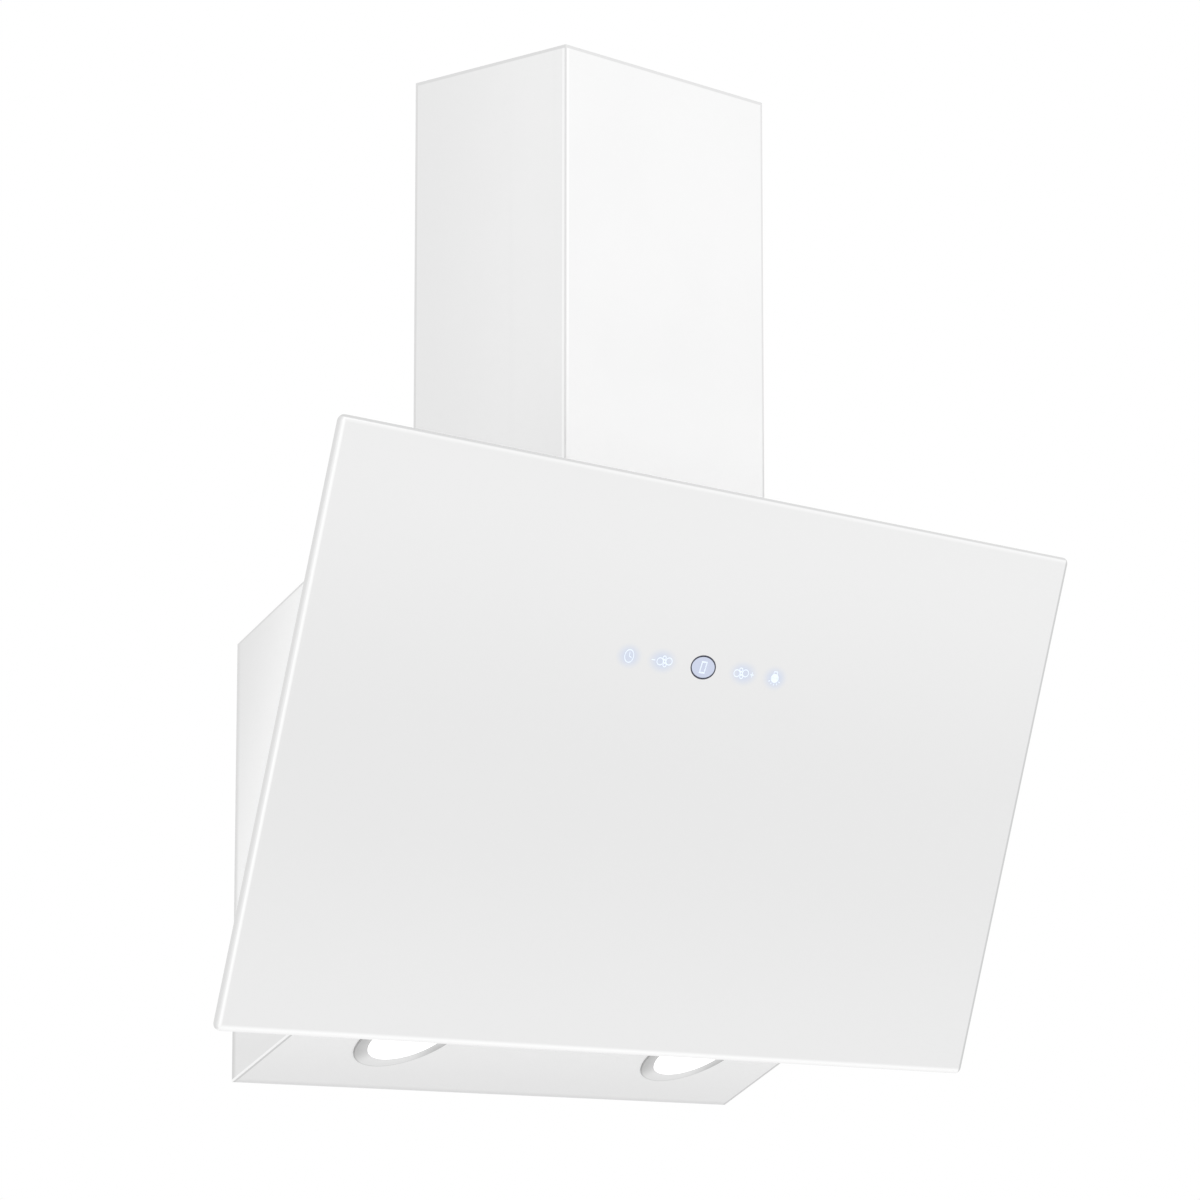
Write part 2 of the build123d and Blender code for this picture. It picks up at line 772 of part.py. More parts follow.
def scroll_face(offset):
    """Side outline of the scroll, grown by offset: two arcs and a straight outlet."""
    small, large = scroll_small + offset, scroll_large + offset
    step = scroll_large - scroll_small
    y, z = -blower_from_wall, blower_height
    back = scroll_tongue + offset
    start = degrees(acos(back / small))
    high = body_top_height + scroll_spare
    tongue = (y + back, z + (small**2 - back**2) ** 0.5)
    edges = [
        CenterArc((y, z), small, start, -start - 90),
        CenterArc((y, z + step), large, -90, -90),
        Line((y - large, z + step), (y - large, high)),
        Line((y - large, high), (y + back, high)),
        Line((y + back, high), tongue),
    ]
    return Plane.YZ * make_face(edges)


def flange_points():
    """(y, z) centres of the screws that join the scroll's halves."""
    grow_by = scroll_wall + scroll_flange / 2
    step = scroll_large - scroll_small
    small = [(a, scroll_small + grow_by, 0.0) for a in small_arc_screws]
    large = [(a, scroll_large + grow_by, step) for a in large_arc_screws]
    points = []
    for angle, radius, lift in small + large:
        y = -blower_from_wall + radius * cos(radians(angle))
        points.append((y, blower_height + lift + radius * sin(radians(angle))))
    return points


def make_scroll_half():
    """Right half of the scroll with its moulded inlet grille."""
    wall = scroll_half_width - scroll_wall
    half = extrude(scroll_face(scroll_wall), amount=scroll_half_width)
    half += extrude(scroll_face(scroll_wall + scroll_flange), amount=scroll_flange_wall)
    half -= Pos(-1, 0, 0) * extrude(scroll_face(0), amount=wall + 1)
    half &= prism_x(skin_corners, -1, scroll_half_width + 1)
    out = outlet_range()
    lip_end = scroll_half_width + scroll_lip
    lips = prism_x(skin_corners, 0, lip_end) - prism_x(body_profile(sheet + scroll_wall), -1, lip_end + 1)
    reach = grow(out, scroll_wall + scroll_lip)
    lips &= block((0, lip_end), reach, (blower_height + scroll_large, 2 * body_top_height))
    lips -= block((-1, wall), out, (0, 2 * body_top_height))
    half += lips
    half -= rod_x(inlet_radius, wall - 1, scroll_half_width + 1, -blower_from_wall, blower_height)
    for y, z in flange_points():
        half -= rod_x(screw_radius + seat_gap, -1, scroll_flange_wall + 1, y, z)
    return half


def inlet_grille():
    """Rings and spokes that guard the open inlet."""
    wall = scroll_half_width - scroll_wall
    y, z = -blower_from_wall, blower_height
    grille = None
    for radius in grille_radii:
        ring = rod_x(radius + grille_bar / 2, wall, scroll_half_width, y, z)
        ring -= rod_x(radius - grille_bar / 2, 0, 2 * wall, y, z)
        grille = ring if grille is None else grille + ring
    for turn in (0, 60, 120):
        place = Pos((wall + scroll_half_width) / 2, y, z) * Rot(turn, 0, 0)
        grille += place * Box(scroll_wall, grille_bar, 2 * inlet_radius + 1)
    return grille


def bush_points():
    """(y, z) centres of the motor's three rubber bushes."""
    return [
        (-blower_from_wall + bush_circle * cos(radians(a)), blower_height + bush_circle * sin(radians(a)))
        for a in bush_angles
    ]


def bush_screw_holes():
    """Holes for the motor's screws in the left side of the scroll."""
    radius = screw_radius + seat_gap
    return [rod_x(radius, -scroll_half_width - 1, -scroll_half_width + scroll_wall + 1, y, z) for y, z in bush_points()]


def make_motor():
    y, z = -blower_from_wall, blower_height
    back = -scroll_half_width - bush_length
    motor = rod_x(motor_radius, back, motor_front, y, z)
    motor += rod_x(motor_boss_radius, motor_front, motor_front + motor_boss, y, z)
    motor -= rod_x(shaft_radius + running_gap, motor_bore_low, 0, y, z)
    middle = Pos((back + motor_front) / 2, y, z)
    for i in range(motor_slots):
        motor -= middle * Rot(360 * i / motor_slots, 0, 0) * Pos(0, 0, motor_radius) * Box(*motor_slot)
    return motor


motor_bracket_back = -scroll_half_width - bush_length - motor_bracket_sheet


def make_motor_bracket():
    y, z = -blower_from_wall, blower_height
    low, high = motor_bracket_back, motor_bracket_back + motor_bracket_sheet
    plate = rod_x(motor_radius, low, high, y, z)
    for by, bz in bush_points():
        plate += rod_x(bush_radius + bush_margin, low, high, by, bz)
        turn = degrees(atan2(bz - z, by - y))
        arm = Pos(0, bush_circle / 2, 0) * Box(motor_bracket_sheet, bush_circle, motor_bracket_arm)
        plate += Pos((low + high) / 2, y, z) * Rot(turn, 0, 0) * arm
    for by, bz in bush_points():
        plate -= rod_x(screw_radius + seat_gap, low - 1, high + 1, by, bz)
    return plate


def make_motor_bushes():
    bushes = []
    for y, z in bush_points():
        bush = rod_x(bush_radius, -scroll_half_width - bush_length, -scroll_half_width, y, z)
        bushes.append(bush - rod_x(screw_radius + seat_gap, -2 * scroll_half_width, 0, y, z))
    return Compound(children=bushes)


def make_blower_screws():
    screws = []
    end = scroll_flange_wall
    for y, z in flange_points():
        shank = rod_x(screw_radius, -end - flange_screw_tip, end, y, z)
        screws.append(shank + rod_x(flange_screw_head, end, end + screw_head_height, y, z))
    plate = motor_bracket_back
    for y, z in bush_points():
        shank = rod_x(screw_radius, plate, -scroll_half_width + scroll_wall, y, z)
        screws.append(shank + rod_x(screw_head_radius, plate - screw_head_height, plate, y, z))
    return Compound(children=screws)


def make_impeller():
    y, z = -blower_from_wall, blower_height
    wheel = rod_x(impeller_radius, *around(0, impeller_disc / 2), y, z)
    wheel += rod_x(impeller_hub_radius, *impeller_hub, y, z)
    inner = impeller_radius - impeller_blade_depth
    for low in (-impeller_half_length, impeller_half_length - impeller_end_ring):
        high = low + impeller_end_ring
        wheel += rod_x(impeller_radius, low, high, y, z) - rod_x(inner, low - 1, high + 1, y, z)
    blades = []
    for i in range(blade_count):
        blade = Box(2 * impeller_half_length, blade_thickness, impeller_blade_depth)
        middle = impeller_radius - impeller_blade_depth / 2 - blade_inset
        place = Rot(360 * i / blade_count, 0, 0) * Pos(0, 0, middle)
        blades.append(Pos(0, y, z) * place * Rot(blade_angle, 0, 0) * blade)
    wheel += blades
    return wheel - rod_x(shaft_radius + seat_gap, *grow(impeller_hub, 1), y, z)


def make_motor_shaft():
    return rod_x(shaft_radius, *shaft_ends, -blower_from_wall, blower_height)


# Outlet plenum, collar and non-return flaps

def make_plenum():
    y = around(chimney_centre_y, plenum_depth / 2)
    x = around(0, plenum_width / 2)
    shell = block(x, y, (body_back_height, plenum_top))
    shell -= block(grow(x, -plenum_wall), grow(y, -plenum_wall), (0, plenum_top - plenum_wall))
    shell -= rod_z(collar_radius - collar_wall, 0, 2 * plenum_top, 0, chimney_centre_y)
    return shell - below_top()


flap_level = plenum_top + flap_height
collar_bore = collar_radius - collar_wall


def flap_pin(side, radius, extra=0.0):
    """Pin line of the flap on one side (+1 towards the wall), across the collar."""
    y = chimney_centre_y + side * flap_axis_offset
    reach = collar_radius - flap_pin_inset + extra
    return rod_x(radius, -reach, reach, y, flap_level)


def make_collar():
    collar = rod_z(collar_radius, plenum_top, plenum_top + collar_height, 0, chimney_centre_y)
    collar += rod_z(collar_flange_radius, plenum_top, plenum_top + plenum_wall, 0, chimney_centre_y)
    collar -= rod_z(collar_bore, 0, 2 * plenum_top, 0, chimney_centre_y)
    ledge_top = flap_level - flap_thickness / 2 - body_gap
    ledge = rod_z(collar_bore, ledge_top - flap_ledge_thickness, ledge_top, 0, chimney_centre_y)
    ledge -= rod_z(collar_bore - flap_ledge, 0, 2 * plenum_top, 0, chimney_centre_y)
    ledge -= block(around(0, collar_radius), around(chimney_centre_y, flap_ledge_break), (0, 2 * plenum_top))
    collar += ledge
    for side in (-1, 1):
        collar -= flap_pin(side, flap_pin_radius + running_gap, collar_wall)
    return collar


def make_flap(side):
    radius = collar_bore - flap_edge_gap
    low, high = flap_level - flap_thickness / 2, flap_level + flap_thickness / 2
    disc = rod_z(radius, low, high, 0, chimney_centre_y)
    edge = chimney_centre_y + side * flap_middle_gap
    keep = sorted((edge, edge + side * collar_radius))
    flap = disc & block(around(0, collar_radius), keep, (low - 1, high + 1))
    return flap + flap_pin(side, flap_pin_radius)


# Chimney covers

def u_cover(half_width, front, back, thickness, low, high):
    """A cover folded into a front and two sides, open towards the wall."""
    cover = block((-half_width, half_width), (front, back), (low, high))
    cover = fillet(cover.edges().filter_by(Axis.Z).group_by(Axis.Y)[0], thickness)
    return cover - block(around(0, half_width - thickness), (front + thickness, back + 1), (low - 1, high + 1))


inner_half = chimney_width / 2 - cover_sheet - cover_slide_gap
inner_front = chimney_front_y + cover_sheet + cover_slide_gap
inner_top = chimney_top - inner_top_drop


def below_top():
    """Everything under the body's top, carried on forwards at its highest level."""
    far = -2 * (chimney_depth + chimney_wall_gap)
    points = [(chimney_wall_gap, 0), (chimney_wall_gap, body_back_height)] + outer_corners[1:3]
    return prism_x(points + [(far, body_top_height), (far, 0)], -half_body, half_body)


def make_chimney_cover():
    cover = u_cover(chimney_width / 2, chimney_front_y, -chimney_wall_gap, cover_sheet, 0, chimney_top)
    cover -= below_top()
    return cover - [rod_x(screw_radius + seat_gap, -half_body, half_body, y, z) for y, z in tab_screw_points()]


def make_inner_cover():
    return u_cover(inner_half, inner_front, -chimney_wall_gap - cover_sheet, cover_sheet, inner_bottom, inner_top)


def make_wall_bracket():
    """Bent strap on the wall whose two arms hold the inner cover from inside."""
    half = inner_half - cover_sheet
    z = (inner_top - bracket_top_drop - bracket_height, inner_top - bracket_top_drop)
    corners = [(half, -bracket_arm), (half, -bracket_bend), (bracket_strap_width / 2, 0)]
    plan = Polygon(*corners, *[(-x, y) for x, y in reversed(corners)], align=None)
    inside = offset(plan, amount=-bracket_sheet, kind=Kind.INTERSECTION)
    strap = Pos(0, 0, z[0]) * extrude(plan, amount=bracket_height)
    strap -= Pos(0, 0, z[0] - 1) * extrude(inside, amount=bracket_height + 2)
    open_end = (-bracket_arm - 1, -bracket_arm + 2 * bracket_sheet)
    strap -= block(around(0, half - bracket_sheet), open_end, grow(z, 1))
    middle = (z[0] + z[1]) / 2
    for x in (-bracket_hole_spacing / 2, bracket_hole_spacing / 2):
        strap -= Pos(x, 0, middle) * Rot(90, 0, 0) * Cylinder(bracket_hole_radius, 4 * bracket_sheet)
    return strap


def top_height(y):
    """Height of the body's top at a distance from the wall."""
    return min(body_top_height, body_back_height - y * body_top_slope)


def tab_screw_points():
    """(y, z) centres of the screws through the lower end of the cover."""
    points = []
    for share in tab_screw_shares:
        y = -(tab_back + share * tab_length)
        points.append((y, top_height(y) + tab_height / 2))
    return points


def make_chimney_tab():
    """Right tab: a leaf inside the cover and a foot on the sloping top."""
    y = (-tab_back - tab_length, -tab_back)
    high = chimney_width / 2 - cover_sheet
    tall = (body_back_height, 2 * body_top_height)
    leaf = Pos(0, 0, tab_height) * prism_x(outer_corners, high - bracket_sheet, high)
    foot = prism_x(body_profile(-bracket_sheet), high - tab_foot, high - bracket_sheet / 2)
    tab = (leaf + foot) & block((high - tab_foot, high), y, tall)
    tab -= prism_x(outer_corners, 0, half_body)
    return tab - [rod_x(screw_radius + seat_gap, 0, half_body, y, z) for y, z in tab_screw_points()]


def make_chimney_screws():
    side = chimney_width / 2
    screws = []
    for y, z in tab_screw_points():
        shank = rod_x(screw_radius, side - tab_screw_length, side, y, z)
        screws.append(shank + rod_x(screw_head_radius, side, side + tab_screw_head_height, y, z))
    return Compound(children=screws + [flip(one) for one in screws])


# Electrical pieces on the back panel and the top

def back_box(x, width, height, depth, middle):
    """Ranges of a box that stands on the inside of the back panel."""
    return around(x, width / 2), (-sheet - depth, -sheet), around(middle, height / 2)


def make_terminal_box():
    x, y, z = back_box(terminal_x, terminal_width, terminal_height, terminal_depth, electrics_height)
    box = block(x, y, z)
    box -= block(grow(x, -terminal_wall), (y[0] - 1, y[1] - terminal_wall), grow(z, -terminal_wall))
    return box


def make_terminal_lid():
    x, y, z = back_box(terminal_x, terminal_width, terminal_height, terminal_depth, electrics_height)
    lid = block(x, (y[0] - terminal_wall, y[0]), z)
    inside = terminal_wall + seat_gap
    return lid + block(grow(x, -inside), (y[0], y[0] + lid_lip), grow(z, -inside))


def make_led_driver():
    x, y, z = back_box(driver_x, driver_width, driver_height, driver_depth, electrics_height)
    driver = block(x, y, z)
    for side in (-1, 1):
        ear_x = sorted((driver_x + side * driver_width / 2, driver_x + side * (driver_width / 2 + driver_ear)))
        driver += block(ear_x, (-sheet - driver_ear_sheet, -sheet), z)
    return fillet(driver.edges().filter_by(Axis.X).group_by(Axis.Y)[0], driver_edge)


def make_capacitor():
    y = -sheet - capacitor_radius
    high = capacitor_height + capacitor_length
    can = rod_z(capacitor_radius, capacitor_height, high, capacitor_x, y)
    cap = rod_z(capacitor_cap_radius, high, high + capacitor_cap_height, capacitor_x, y)
    middle = capacitor_height + capacitor_length / 2
    saddle_x = around(capacitor_x, capacitor_radius + saddle_margin)
    saddle = block(saddle_x, (-sheet - saddle_sheet, -sheet), around(middle, saddle_height / 2))
    return can + cap + saddle


# Leads inside the body

def lead(points):
    """A round cable along straight runs joined by bends as large as the runs allow."""
    places = [Vector(*point) for point in points]
    radii = []
    for before, corner, after in zip(places, places[1:], places[2:]):
        run = min((corner - before).length, (after - corner).length)
        turn = radians((corner - before).get_angle(after - corner))
        radii.append(lead_bend_share * run / tan(turn / 2))
    path = FilletPolyline(*places, radius=radii)
    section = Plane(origin=places[0], z_dir=places[1] - places[0]) * Circle(lead_radius)
    return sweep(section, path=path)


def make_motor_lead():
    """From the terminal box's lid to the back of the motor."""
    start = -sheet - terminal_depth - terminal_wall
    x = terminal_x + terminal_width / 4
    end = motor_bracket_back
    y, z = -blower_from_wall, blower_height
    return lead([(x, start, z), (x, y, z), (end, y, z)])


def lamp_lead_level():
    """Height at which a lamp's axis meets the leads' distance from the wall, and the module's end."""
    deep = lamp_wall + lamp_lens_thickness / 2 + lamp_module_depth - lamp_proud
    y = -lamp_from_wall * cos(bottom_angle) + deep * sin(bottom_angle)
    z = lamp_from_wall * sin(bottom_angle) + deep * cos(bottom_angle)
    rise = (-lead_from_wall - y) / sin(bottom_angle)
    return z + rise * cos(bottom_angle), (y, z)


def make_lamp_leads():
    """From the driver to both lamp modules, along the back panel."""
    level, (end_y, end_z) = lamp_lead_level()
    high = electrics_height - driver_height / 2
    x, y = lamp_spread / 2, -lead_from_wall
    near = lead([(x, y, high), (x, y, level), (x, end_y, end_z)])
    far = lead([(far_lead_x, y, high), (far_lead_x, y, level), (-x, y, level), (-x, end_y, end_z)])
    return Compound(children=[near, far])


def make_cable_clips():
    """Clips that hold the long lamp lead to the back panel."""
    level, _ = lamp_lead_level()
    reach = lead_radius + clip_wall
    clips = []
    for x in clip_places:
        clip = block(around(x, clip_width / 2), (-lead_from_wall - reach, -sheet), around(level, reach))
        clips.append(clip - rod_x(lead_radius + seat_gap, x - clip_width, x + clip_width, -lead_from_wall, level))
    return Compound(children=clips)


def make_cable_gland():
    place = top_plane * Pos(gland_x, -gland_from_wall, 0)
    inside, outside = sheet + gland_thread_length, gland_nut + gland_dome
    hexagon = RegularPolygon(gland_hex_radius, 6)
    gland = place * rod_z(gland_thread_radius, -inside, outside)
    gland += place * extrude(hexagon, amount=gland_nut)
    gland += place * Pos(0, 0, -sheet - gland_lock_nut) * extrude(hexagon, amount=gland_lock_nut)
    return gland - place * rod_z(gland_bore_radius, -2 * inside, 2 * outside)


def both(name, shape):
    """The same piece as a left and a right node."""
    return {f"{name}_left": flip(shape), f"{name}_right": shape}


def main():
    scroll = make_scroll_half()
    nodes = {
        "back_panel": make_back_panel(),
        **both("side_panel", make_side_panel()),
        "top_panel": make_top_panel(),
        "light_panel": make_light_panel(),
        "front_frame": make_front_frame(),
        "body_rivets": make_body_rivets(),
        "door_rivets": make_door_rivets(),
        **both("filter_frame", make_filter_frame()),
        **both("filter_mesh", make_filter_mesh()),
        **both("filter_latch", make_filter_latch()),
        "glass_panel": make_glass(),
        "glass_carrier": make_carrier(),
        "touch_housing": make_touch_housing(),
        "touch_board": make_touch_board(),
        "touch_icons": make_touch_icons(),
        "display_ring": make_display_ring(),
        "display_digit": make_display_digit(),
        "door_magnets": make_door_magnets(),
        **both("hinge_bracket", make_hinge_bracket()),
        **both("hinge_arm", make_hinge_arm()),
        "hinge_pins": make_hinge_pins(),
        **both("lamp_bezel", make_lamp_bezel()),
        **both("lamp_lens", make_lamp_lens()),
        **both("lamp_module", make_lamp_module()),
        "lamp_clips": make_lamp_clips(),
        "blower_scroll_right": scroll + inlet_grille(),
        "blower_scroll_left": flip(scroll) - bush_screw_holes(),
        "blower_screws": make_blower_screws(),
        "blower_motor": make_motor(),
        "motor_bracket": make_motor_bracket(),
        "motor_bushes": make_motor_bushes(),
        "blower_impeller": make_impeller(),
        "motor_shaft": make_motor_shaft(),
        "outlet_plenum": make_plenum(),
        "duct_collar": make_collar(),
        "damper_flap_front": make_flap(-1),
        "damper_flap_back": make_flap(1),
        "chimney_cover": make_chimney_cover(),
        "chimney_inner_cover": make_inner_cover(),
        "chimney_wall_bracket": make_wall_bracket(),
        **both("chimney_tab", make_chimney_tab()),
        "chimney_screws": make_chimney_screws(),
        "terminal_box": make_terminal_box(),
        "terminal_box_lid": make_terminal_lid(),
        "motor_capacitor": make_capacitor(),
        "led_driver": make_led_driver(),
        "cable_gland": make_cable_gland(),
        "motor_lead": make_motor_lead(),
        "lamp_leads": make_lamp_leads(),
        "cable_clips": make_cable_clips(),
    }
    os.makedirs("parts", exist_ok=True)
    for name, shape in nodes.items():
        export_step(shape, f"parts/{name}.step")
    print(len(nodes), "nodes")


main()
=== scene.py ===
import json
import math

import bmesh
import bpy
from mathutils import Matrix, Vector


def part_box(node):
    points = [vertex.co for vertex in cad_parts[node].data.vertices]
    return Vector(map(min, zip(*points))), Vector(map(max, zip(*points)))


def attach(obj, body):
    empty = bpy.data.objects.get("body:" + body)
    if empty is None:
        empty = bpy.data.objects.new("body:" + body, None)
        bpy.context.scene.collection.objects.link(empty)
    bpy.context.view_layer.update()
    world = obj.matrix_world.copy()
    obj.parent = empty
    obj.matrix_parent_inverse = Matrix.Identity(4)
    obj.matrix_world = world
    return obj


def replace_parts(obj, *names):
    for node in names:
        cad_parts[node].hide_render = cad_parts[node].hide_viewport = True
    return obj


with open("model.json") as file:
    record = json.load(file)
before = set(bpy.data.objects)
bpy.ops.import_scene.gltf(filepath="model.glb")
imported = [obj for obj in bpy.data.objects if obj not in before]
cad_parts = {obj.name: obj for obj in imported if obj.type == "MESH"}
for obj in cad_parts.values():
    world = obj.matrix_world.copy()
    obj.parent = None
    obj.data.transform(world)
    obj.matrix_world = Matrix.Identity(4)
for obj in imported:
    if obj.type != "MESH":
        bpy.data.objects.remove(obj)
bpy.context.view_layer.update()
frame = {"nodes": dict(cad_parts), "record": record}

nodes = frame["nodes"]
slotOf = {part["node"]: part["material_slot"] for part in frame["record"]["subparts"]}
print("frame loaded:", len(nodes), "nodes")


def operator(operation, swapped=False):
    def combined(self, other):
        first, second = (other, self) if swapped else (self, other)
        return self.graph.math(operation, first, second)
    return combined


class Signal:  # a node's socket that takes Python arithmetic
    def __init__(self, graph, socket):
        self.graph, self.socket = graph, socket

    def __abs__(self):
        return self.graph.math("ABSOLUTE", self)

    __add__, __radd__ = operator("ADD"), operator("ADD", swapped=True)
    __sub__, __rsub__ = operator("SUBTRACT"), operator("SUBTRACT", swapped=True)
    __mul__, __rmul__ = operator("MULTIPLY"), operator("MULTIPLY", swapped=True)
    __truediv__, __rtruediv__ = operator("DIVIDE"), operator("DIVIDE", swapped=True)
    __pow__, __rpow__ = operator("POWER"), operator("POWER", swapped=True)


class Graph:
    def __init__(self, tree):
        self.tree = tree

    def node(self, kind, settings=None, *values, **sockets):  # the settings are set first
        made = self.tree.nodes.new(kind)
        for name, value in (settings or {}).items():
            setattr(made, name, value)
        for socket, value in zip(made.inputs, values):  # in the order of the node's sockets
            self.feed(socket, value)
        for name, value in sockets.items():
            self.feed(made.inputs[name.replace("_", " ")], value)
        return made

    def feed(self, socket, value):
        if isinstance(value, list) and value and isinstance(value[0], Signal):
            for one in value:  # a socket that takes several links
                self.tree.links.new(one.socket, socket)
            return
        if isinstance(value, Signal):
            value = value.socket
        if isinstance(value, bpy.types.NodeSocket):
            self.tree.links.new(value, socket)
        elif socket.type == "RGBA":  # three parts, or one number for a grey
            parts = value if isinstance(value, (tuple, list)) else (value,) * 3
            socket.default_value = (*parts, 1.0)
        else:
            socket.default_value = value

    def out(self, made, name=0):
        return Signal(self, made.outputs[name])

    def math(self, operation, *values):  # the same Math node serves shaders and shapes
        return self.out(self.node("ShaderNodeMath", {"operation": operation}, *values))

    def larger(self, first, second):
        return self.math("MAXIMUM", first, second)

    def vector(self, operation, first, second, name="Vector"):
        return self.out(self.node("ShaderNodeVectorMath", {"operation": operation}, first, second), name)

    def step(self, value, low, high):  # 0 below low, 1 above high, smooth between
        made = self.node("ShaderNodeMapRange", {"interpolation_type": "SMOOTHSTEP"},
                         Value=value, From_Min=low, From_Max=high)
        return self.out(made, "Result")

    def fade(self, value, low, high):  # 1 below low, 0 above high
        return 1 - self.step(value, low, high)

    def band(self, value, low, high, soft):  # 1 between low and high
        return self.step(value, low - soft, low + soft) * self.fade(value, high - soft, high + soft)

    def place(self):  # object coordinates
        return self.out(self.node("ShaderNodeTexCoord"), "Object")

    def split(self, place):
        made = self.node("ShaderNodeSeparateXYZ", Vector=place)
        return [self.out(made, axis) for axis in "XYZ"]

    def stretch(self, place, scale, turn=(0, 0, 0)):
        return self.out(self.node("ShaderNodeMapping", Vector=place, Rotation=turn, Scale=scale), "Vector")

    def noise(self, place, scale, detail=2.0, roughness=0.5):
        made = self.node("ShaderNodeTexNoise",
                         Vector=place, Scale=scale, Detail=detail, Roughness=roughness)
        return self.out(made, "Fac")

    def cells(self, place, scale, feature="F1", output="Distance"):
        made = self.node("ShaderNodeTexVoronoi", {"feature": feature}, Vector=place, Scale=scale)
        return self.out(made, output)

    def blendColour(self, mask, first, second):
        made = self.node("ShaderNodeMix", {"data_type": "RGBA"})
        for index, value in ((0, mask), (6, first), (7, second)):
            self.feed(made.inputs[index], value)
        return self.out(made, 2)

    def bump(self, height, depth, strength):
        made = self.node("ShaderNodeBump", Height=height, Distance=depth, Strength=strength)
        return self.out(made, "Normal")


def clearGraph(owner):
    owner.use_nodes = True
    owner.node_tree.nodes.clear()
    return Graph(owner.node_tree)


def newObject(name, data):
    made = bpy.data.objects.new(name, data)
    bpy.context.scene.collection.objects.link(made)
    return made


finishes = {}


def makeFinish(name, paint, **constants):  # constants go on the shader's own sockets
    material = bpy.data.materials.new(name)
    graph = clearGraph(material)
    shader = graph.node("ShaderNodeBsdfPrincipled", **constants, **paint(graph))
    graph.node("ShaderNodeOutputMaterial", Surface=shader.outputs["BSDF"])
    finishes[name] = material


lean = math.radians(16.1)  # the door and the body's front edges, from upright

# Baked white enamel on the folded steel sheets

enamel = {
    "white": 0.885,
    "shade": 0.875,  # low spots of the coat
    "cloudScale": 9.0,
    "peelScale": 420.0,  # orange peel, per metre
    "peelDepth": 0.00002,
    "roughness": 0.34,
    "edge": 0.74,  # painted shade line along the sheets' edges and folds
    "fold": 0.96,  # painted highlight beside a fold
    "seam": 0.63,  # shadow gap between side and bottom
    "edgeWidth": 0.0021,
    "wallReach": (0.0012, 0.0058),  # painted shade along the wall: where the tone starts to fade and where it ends
}
shell = {
    "inside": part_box("light_panel")[1][0],
    "top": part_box("side_panel_right")[1][2],
    "back": 0.352,  # height of the back edge
    "topSlope": 0.56,
    "bottomSlope": 0.528,
    "topLine": (0.8, 1.1),  # painted shade line, in edge widths
    "bottomLine": (0.5, 0.8),  # painted highlight line
    "seamLine": (1.5, 1.2),  # gap beside the sides
    "sideTones": (0.975, 0.80),  # painted shading, light near the door and darker far behind it
    "sideReach": (0.007, 0.100),  # back from the door's plane through the lower corner
    "cornerTone": 0.80,  # painted shade in the lower back corner of the sides
    "cornerReach": (0.02, 0.11),  # heights
    "wallTones": (0.735, 0.66),  # painted shade at the sheet's end along the wall, high and low
    "bottomTones": (0.815, 0.925),  # painted shading, darker at the wall than at the front
    "bottomReach": (-0.01, 0.10),  # out from the wall
}
chimney = {
    "half": 0.124,
    "front": 0.200,
    "back": 0.025,
    "top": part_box("chimney_cover")[1][2],
    "wall": (0.003, 0.002),  # how far in from its outside a point still counts as the side
    "foldLine": (0.5, 1.3),  # painted shade line at the left and the right fold, in edge widths
    "foldSoft": 0.15,
    "foldLight": (0.75, 1.9),  # painted highlight beside the left fold
    "endLine": (1.1, 1.4),  # painted shade line along the top and the open back
    "endLight": (1.3, 1.5),  # where the painted highlight stops short of it
    "streak": 0.006,  # rolling lines on the sides
    "streakStretch": (60.0, 60.0, 1.2),
    "streakStart": 0.01,  # behind the front
    "backTone": 0.835,  # painted shade on the sides at the wall
    "backStart": 0.17,
    "footTone": 0.975,  # painted light on the front where the door covers the chimney
    "footReach": (0.47, 0.62),  # heights
    "footDepth": 0.002,
}


def inWidths(pair):
    return [share * enamel["edgeWidth"] for share in pair]


# the light mask is a painted highlight, the dark mask a painted shade line, the seam mask the shadow gap
def edgeLines(graph, colour, light=None, dark=None, seam=None):
    for mask, level in ((light, "fold"), (dark, "edge"), (seam, "seam")):
        if mask:
            colour = graph.blendColour(mask, colour, enamel[level])
    return colour


def fromSlope(rise, slope):  # a rise above a sloping edge as a distance from it
    return rise * (1 / math.sqrt(1 + slope * slope))


def toneChimney(graph, colour, place):
    x, y, z = graph.split(place)
    front = -chimney["front"]
    atSide = graph.step(abs(x), *(chimney["half"] - inset for inset in chimney["wall"]))
    lines = graph.noise(graph.stretch(place, chimney["streakStretch"]), 1.0, 3.0)
    drawn = graph.step(lines, 0.55, 0.80) * atSide * graph.step(y, front, front + chimney["streakStart"])
    colour = graph.blendColour(drawn, colour, enamel["shade"] - chimney["streak"])
    # painted shade on the sides towards the wall
    back = graph.step(y, -chimney["backStart"], -chimney["back"]) * atSide
    colour = graph.blendColour(back, colour, chimney["backTone"])
    # painted light on the front's foot, where the door covers the chimney
    foot = graph.fade(z, *chimney["footReach"]) * graph.fade(y, front, front + chimney["footDepth"])
    colour = graph.blendColour(foot, colour, chimney["footTone"])
    # painted shade lines at the folds and ends, and a painted highlight beside the left fold
    fold = (chimney["half"] - abs(x)) + (y - front)
    ends = graph.math("MINIMUM", chimney["top"] - z, -1 * y - chimney["back"])
    right = graph.step(x, -0.001, 0.001)  # the right fold's painted shade line is wider
    leftLine, rightLine = inWidths(chimney["foldLine"])
    soft = enamel["edgeWidth"] * chimney["foldSoft"]
    reach = leftLine + (rightLine - leftLine) * right
    atEnds = graph.fade(ends, *inWidths(chimney["endLine"]))
    dark = graph.larger(graph.fade(fold, reach, reach + soft), atEnds)
    light = graph.band(fold, *inWidths(chimney["foldLight"]), soft) * (1 - right)
    light = light * graph.step(ends, *inWidths(chimney["endLight"]))
    return edgeLines(graph, colour, light, dark)


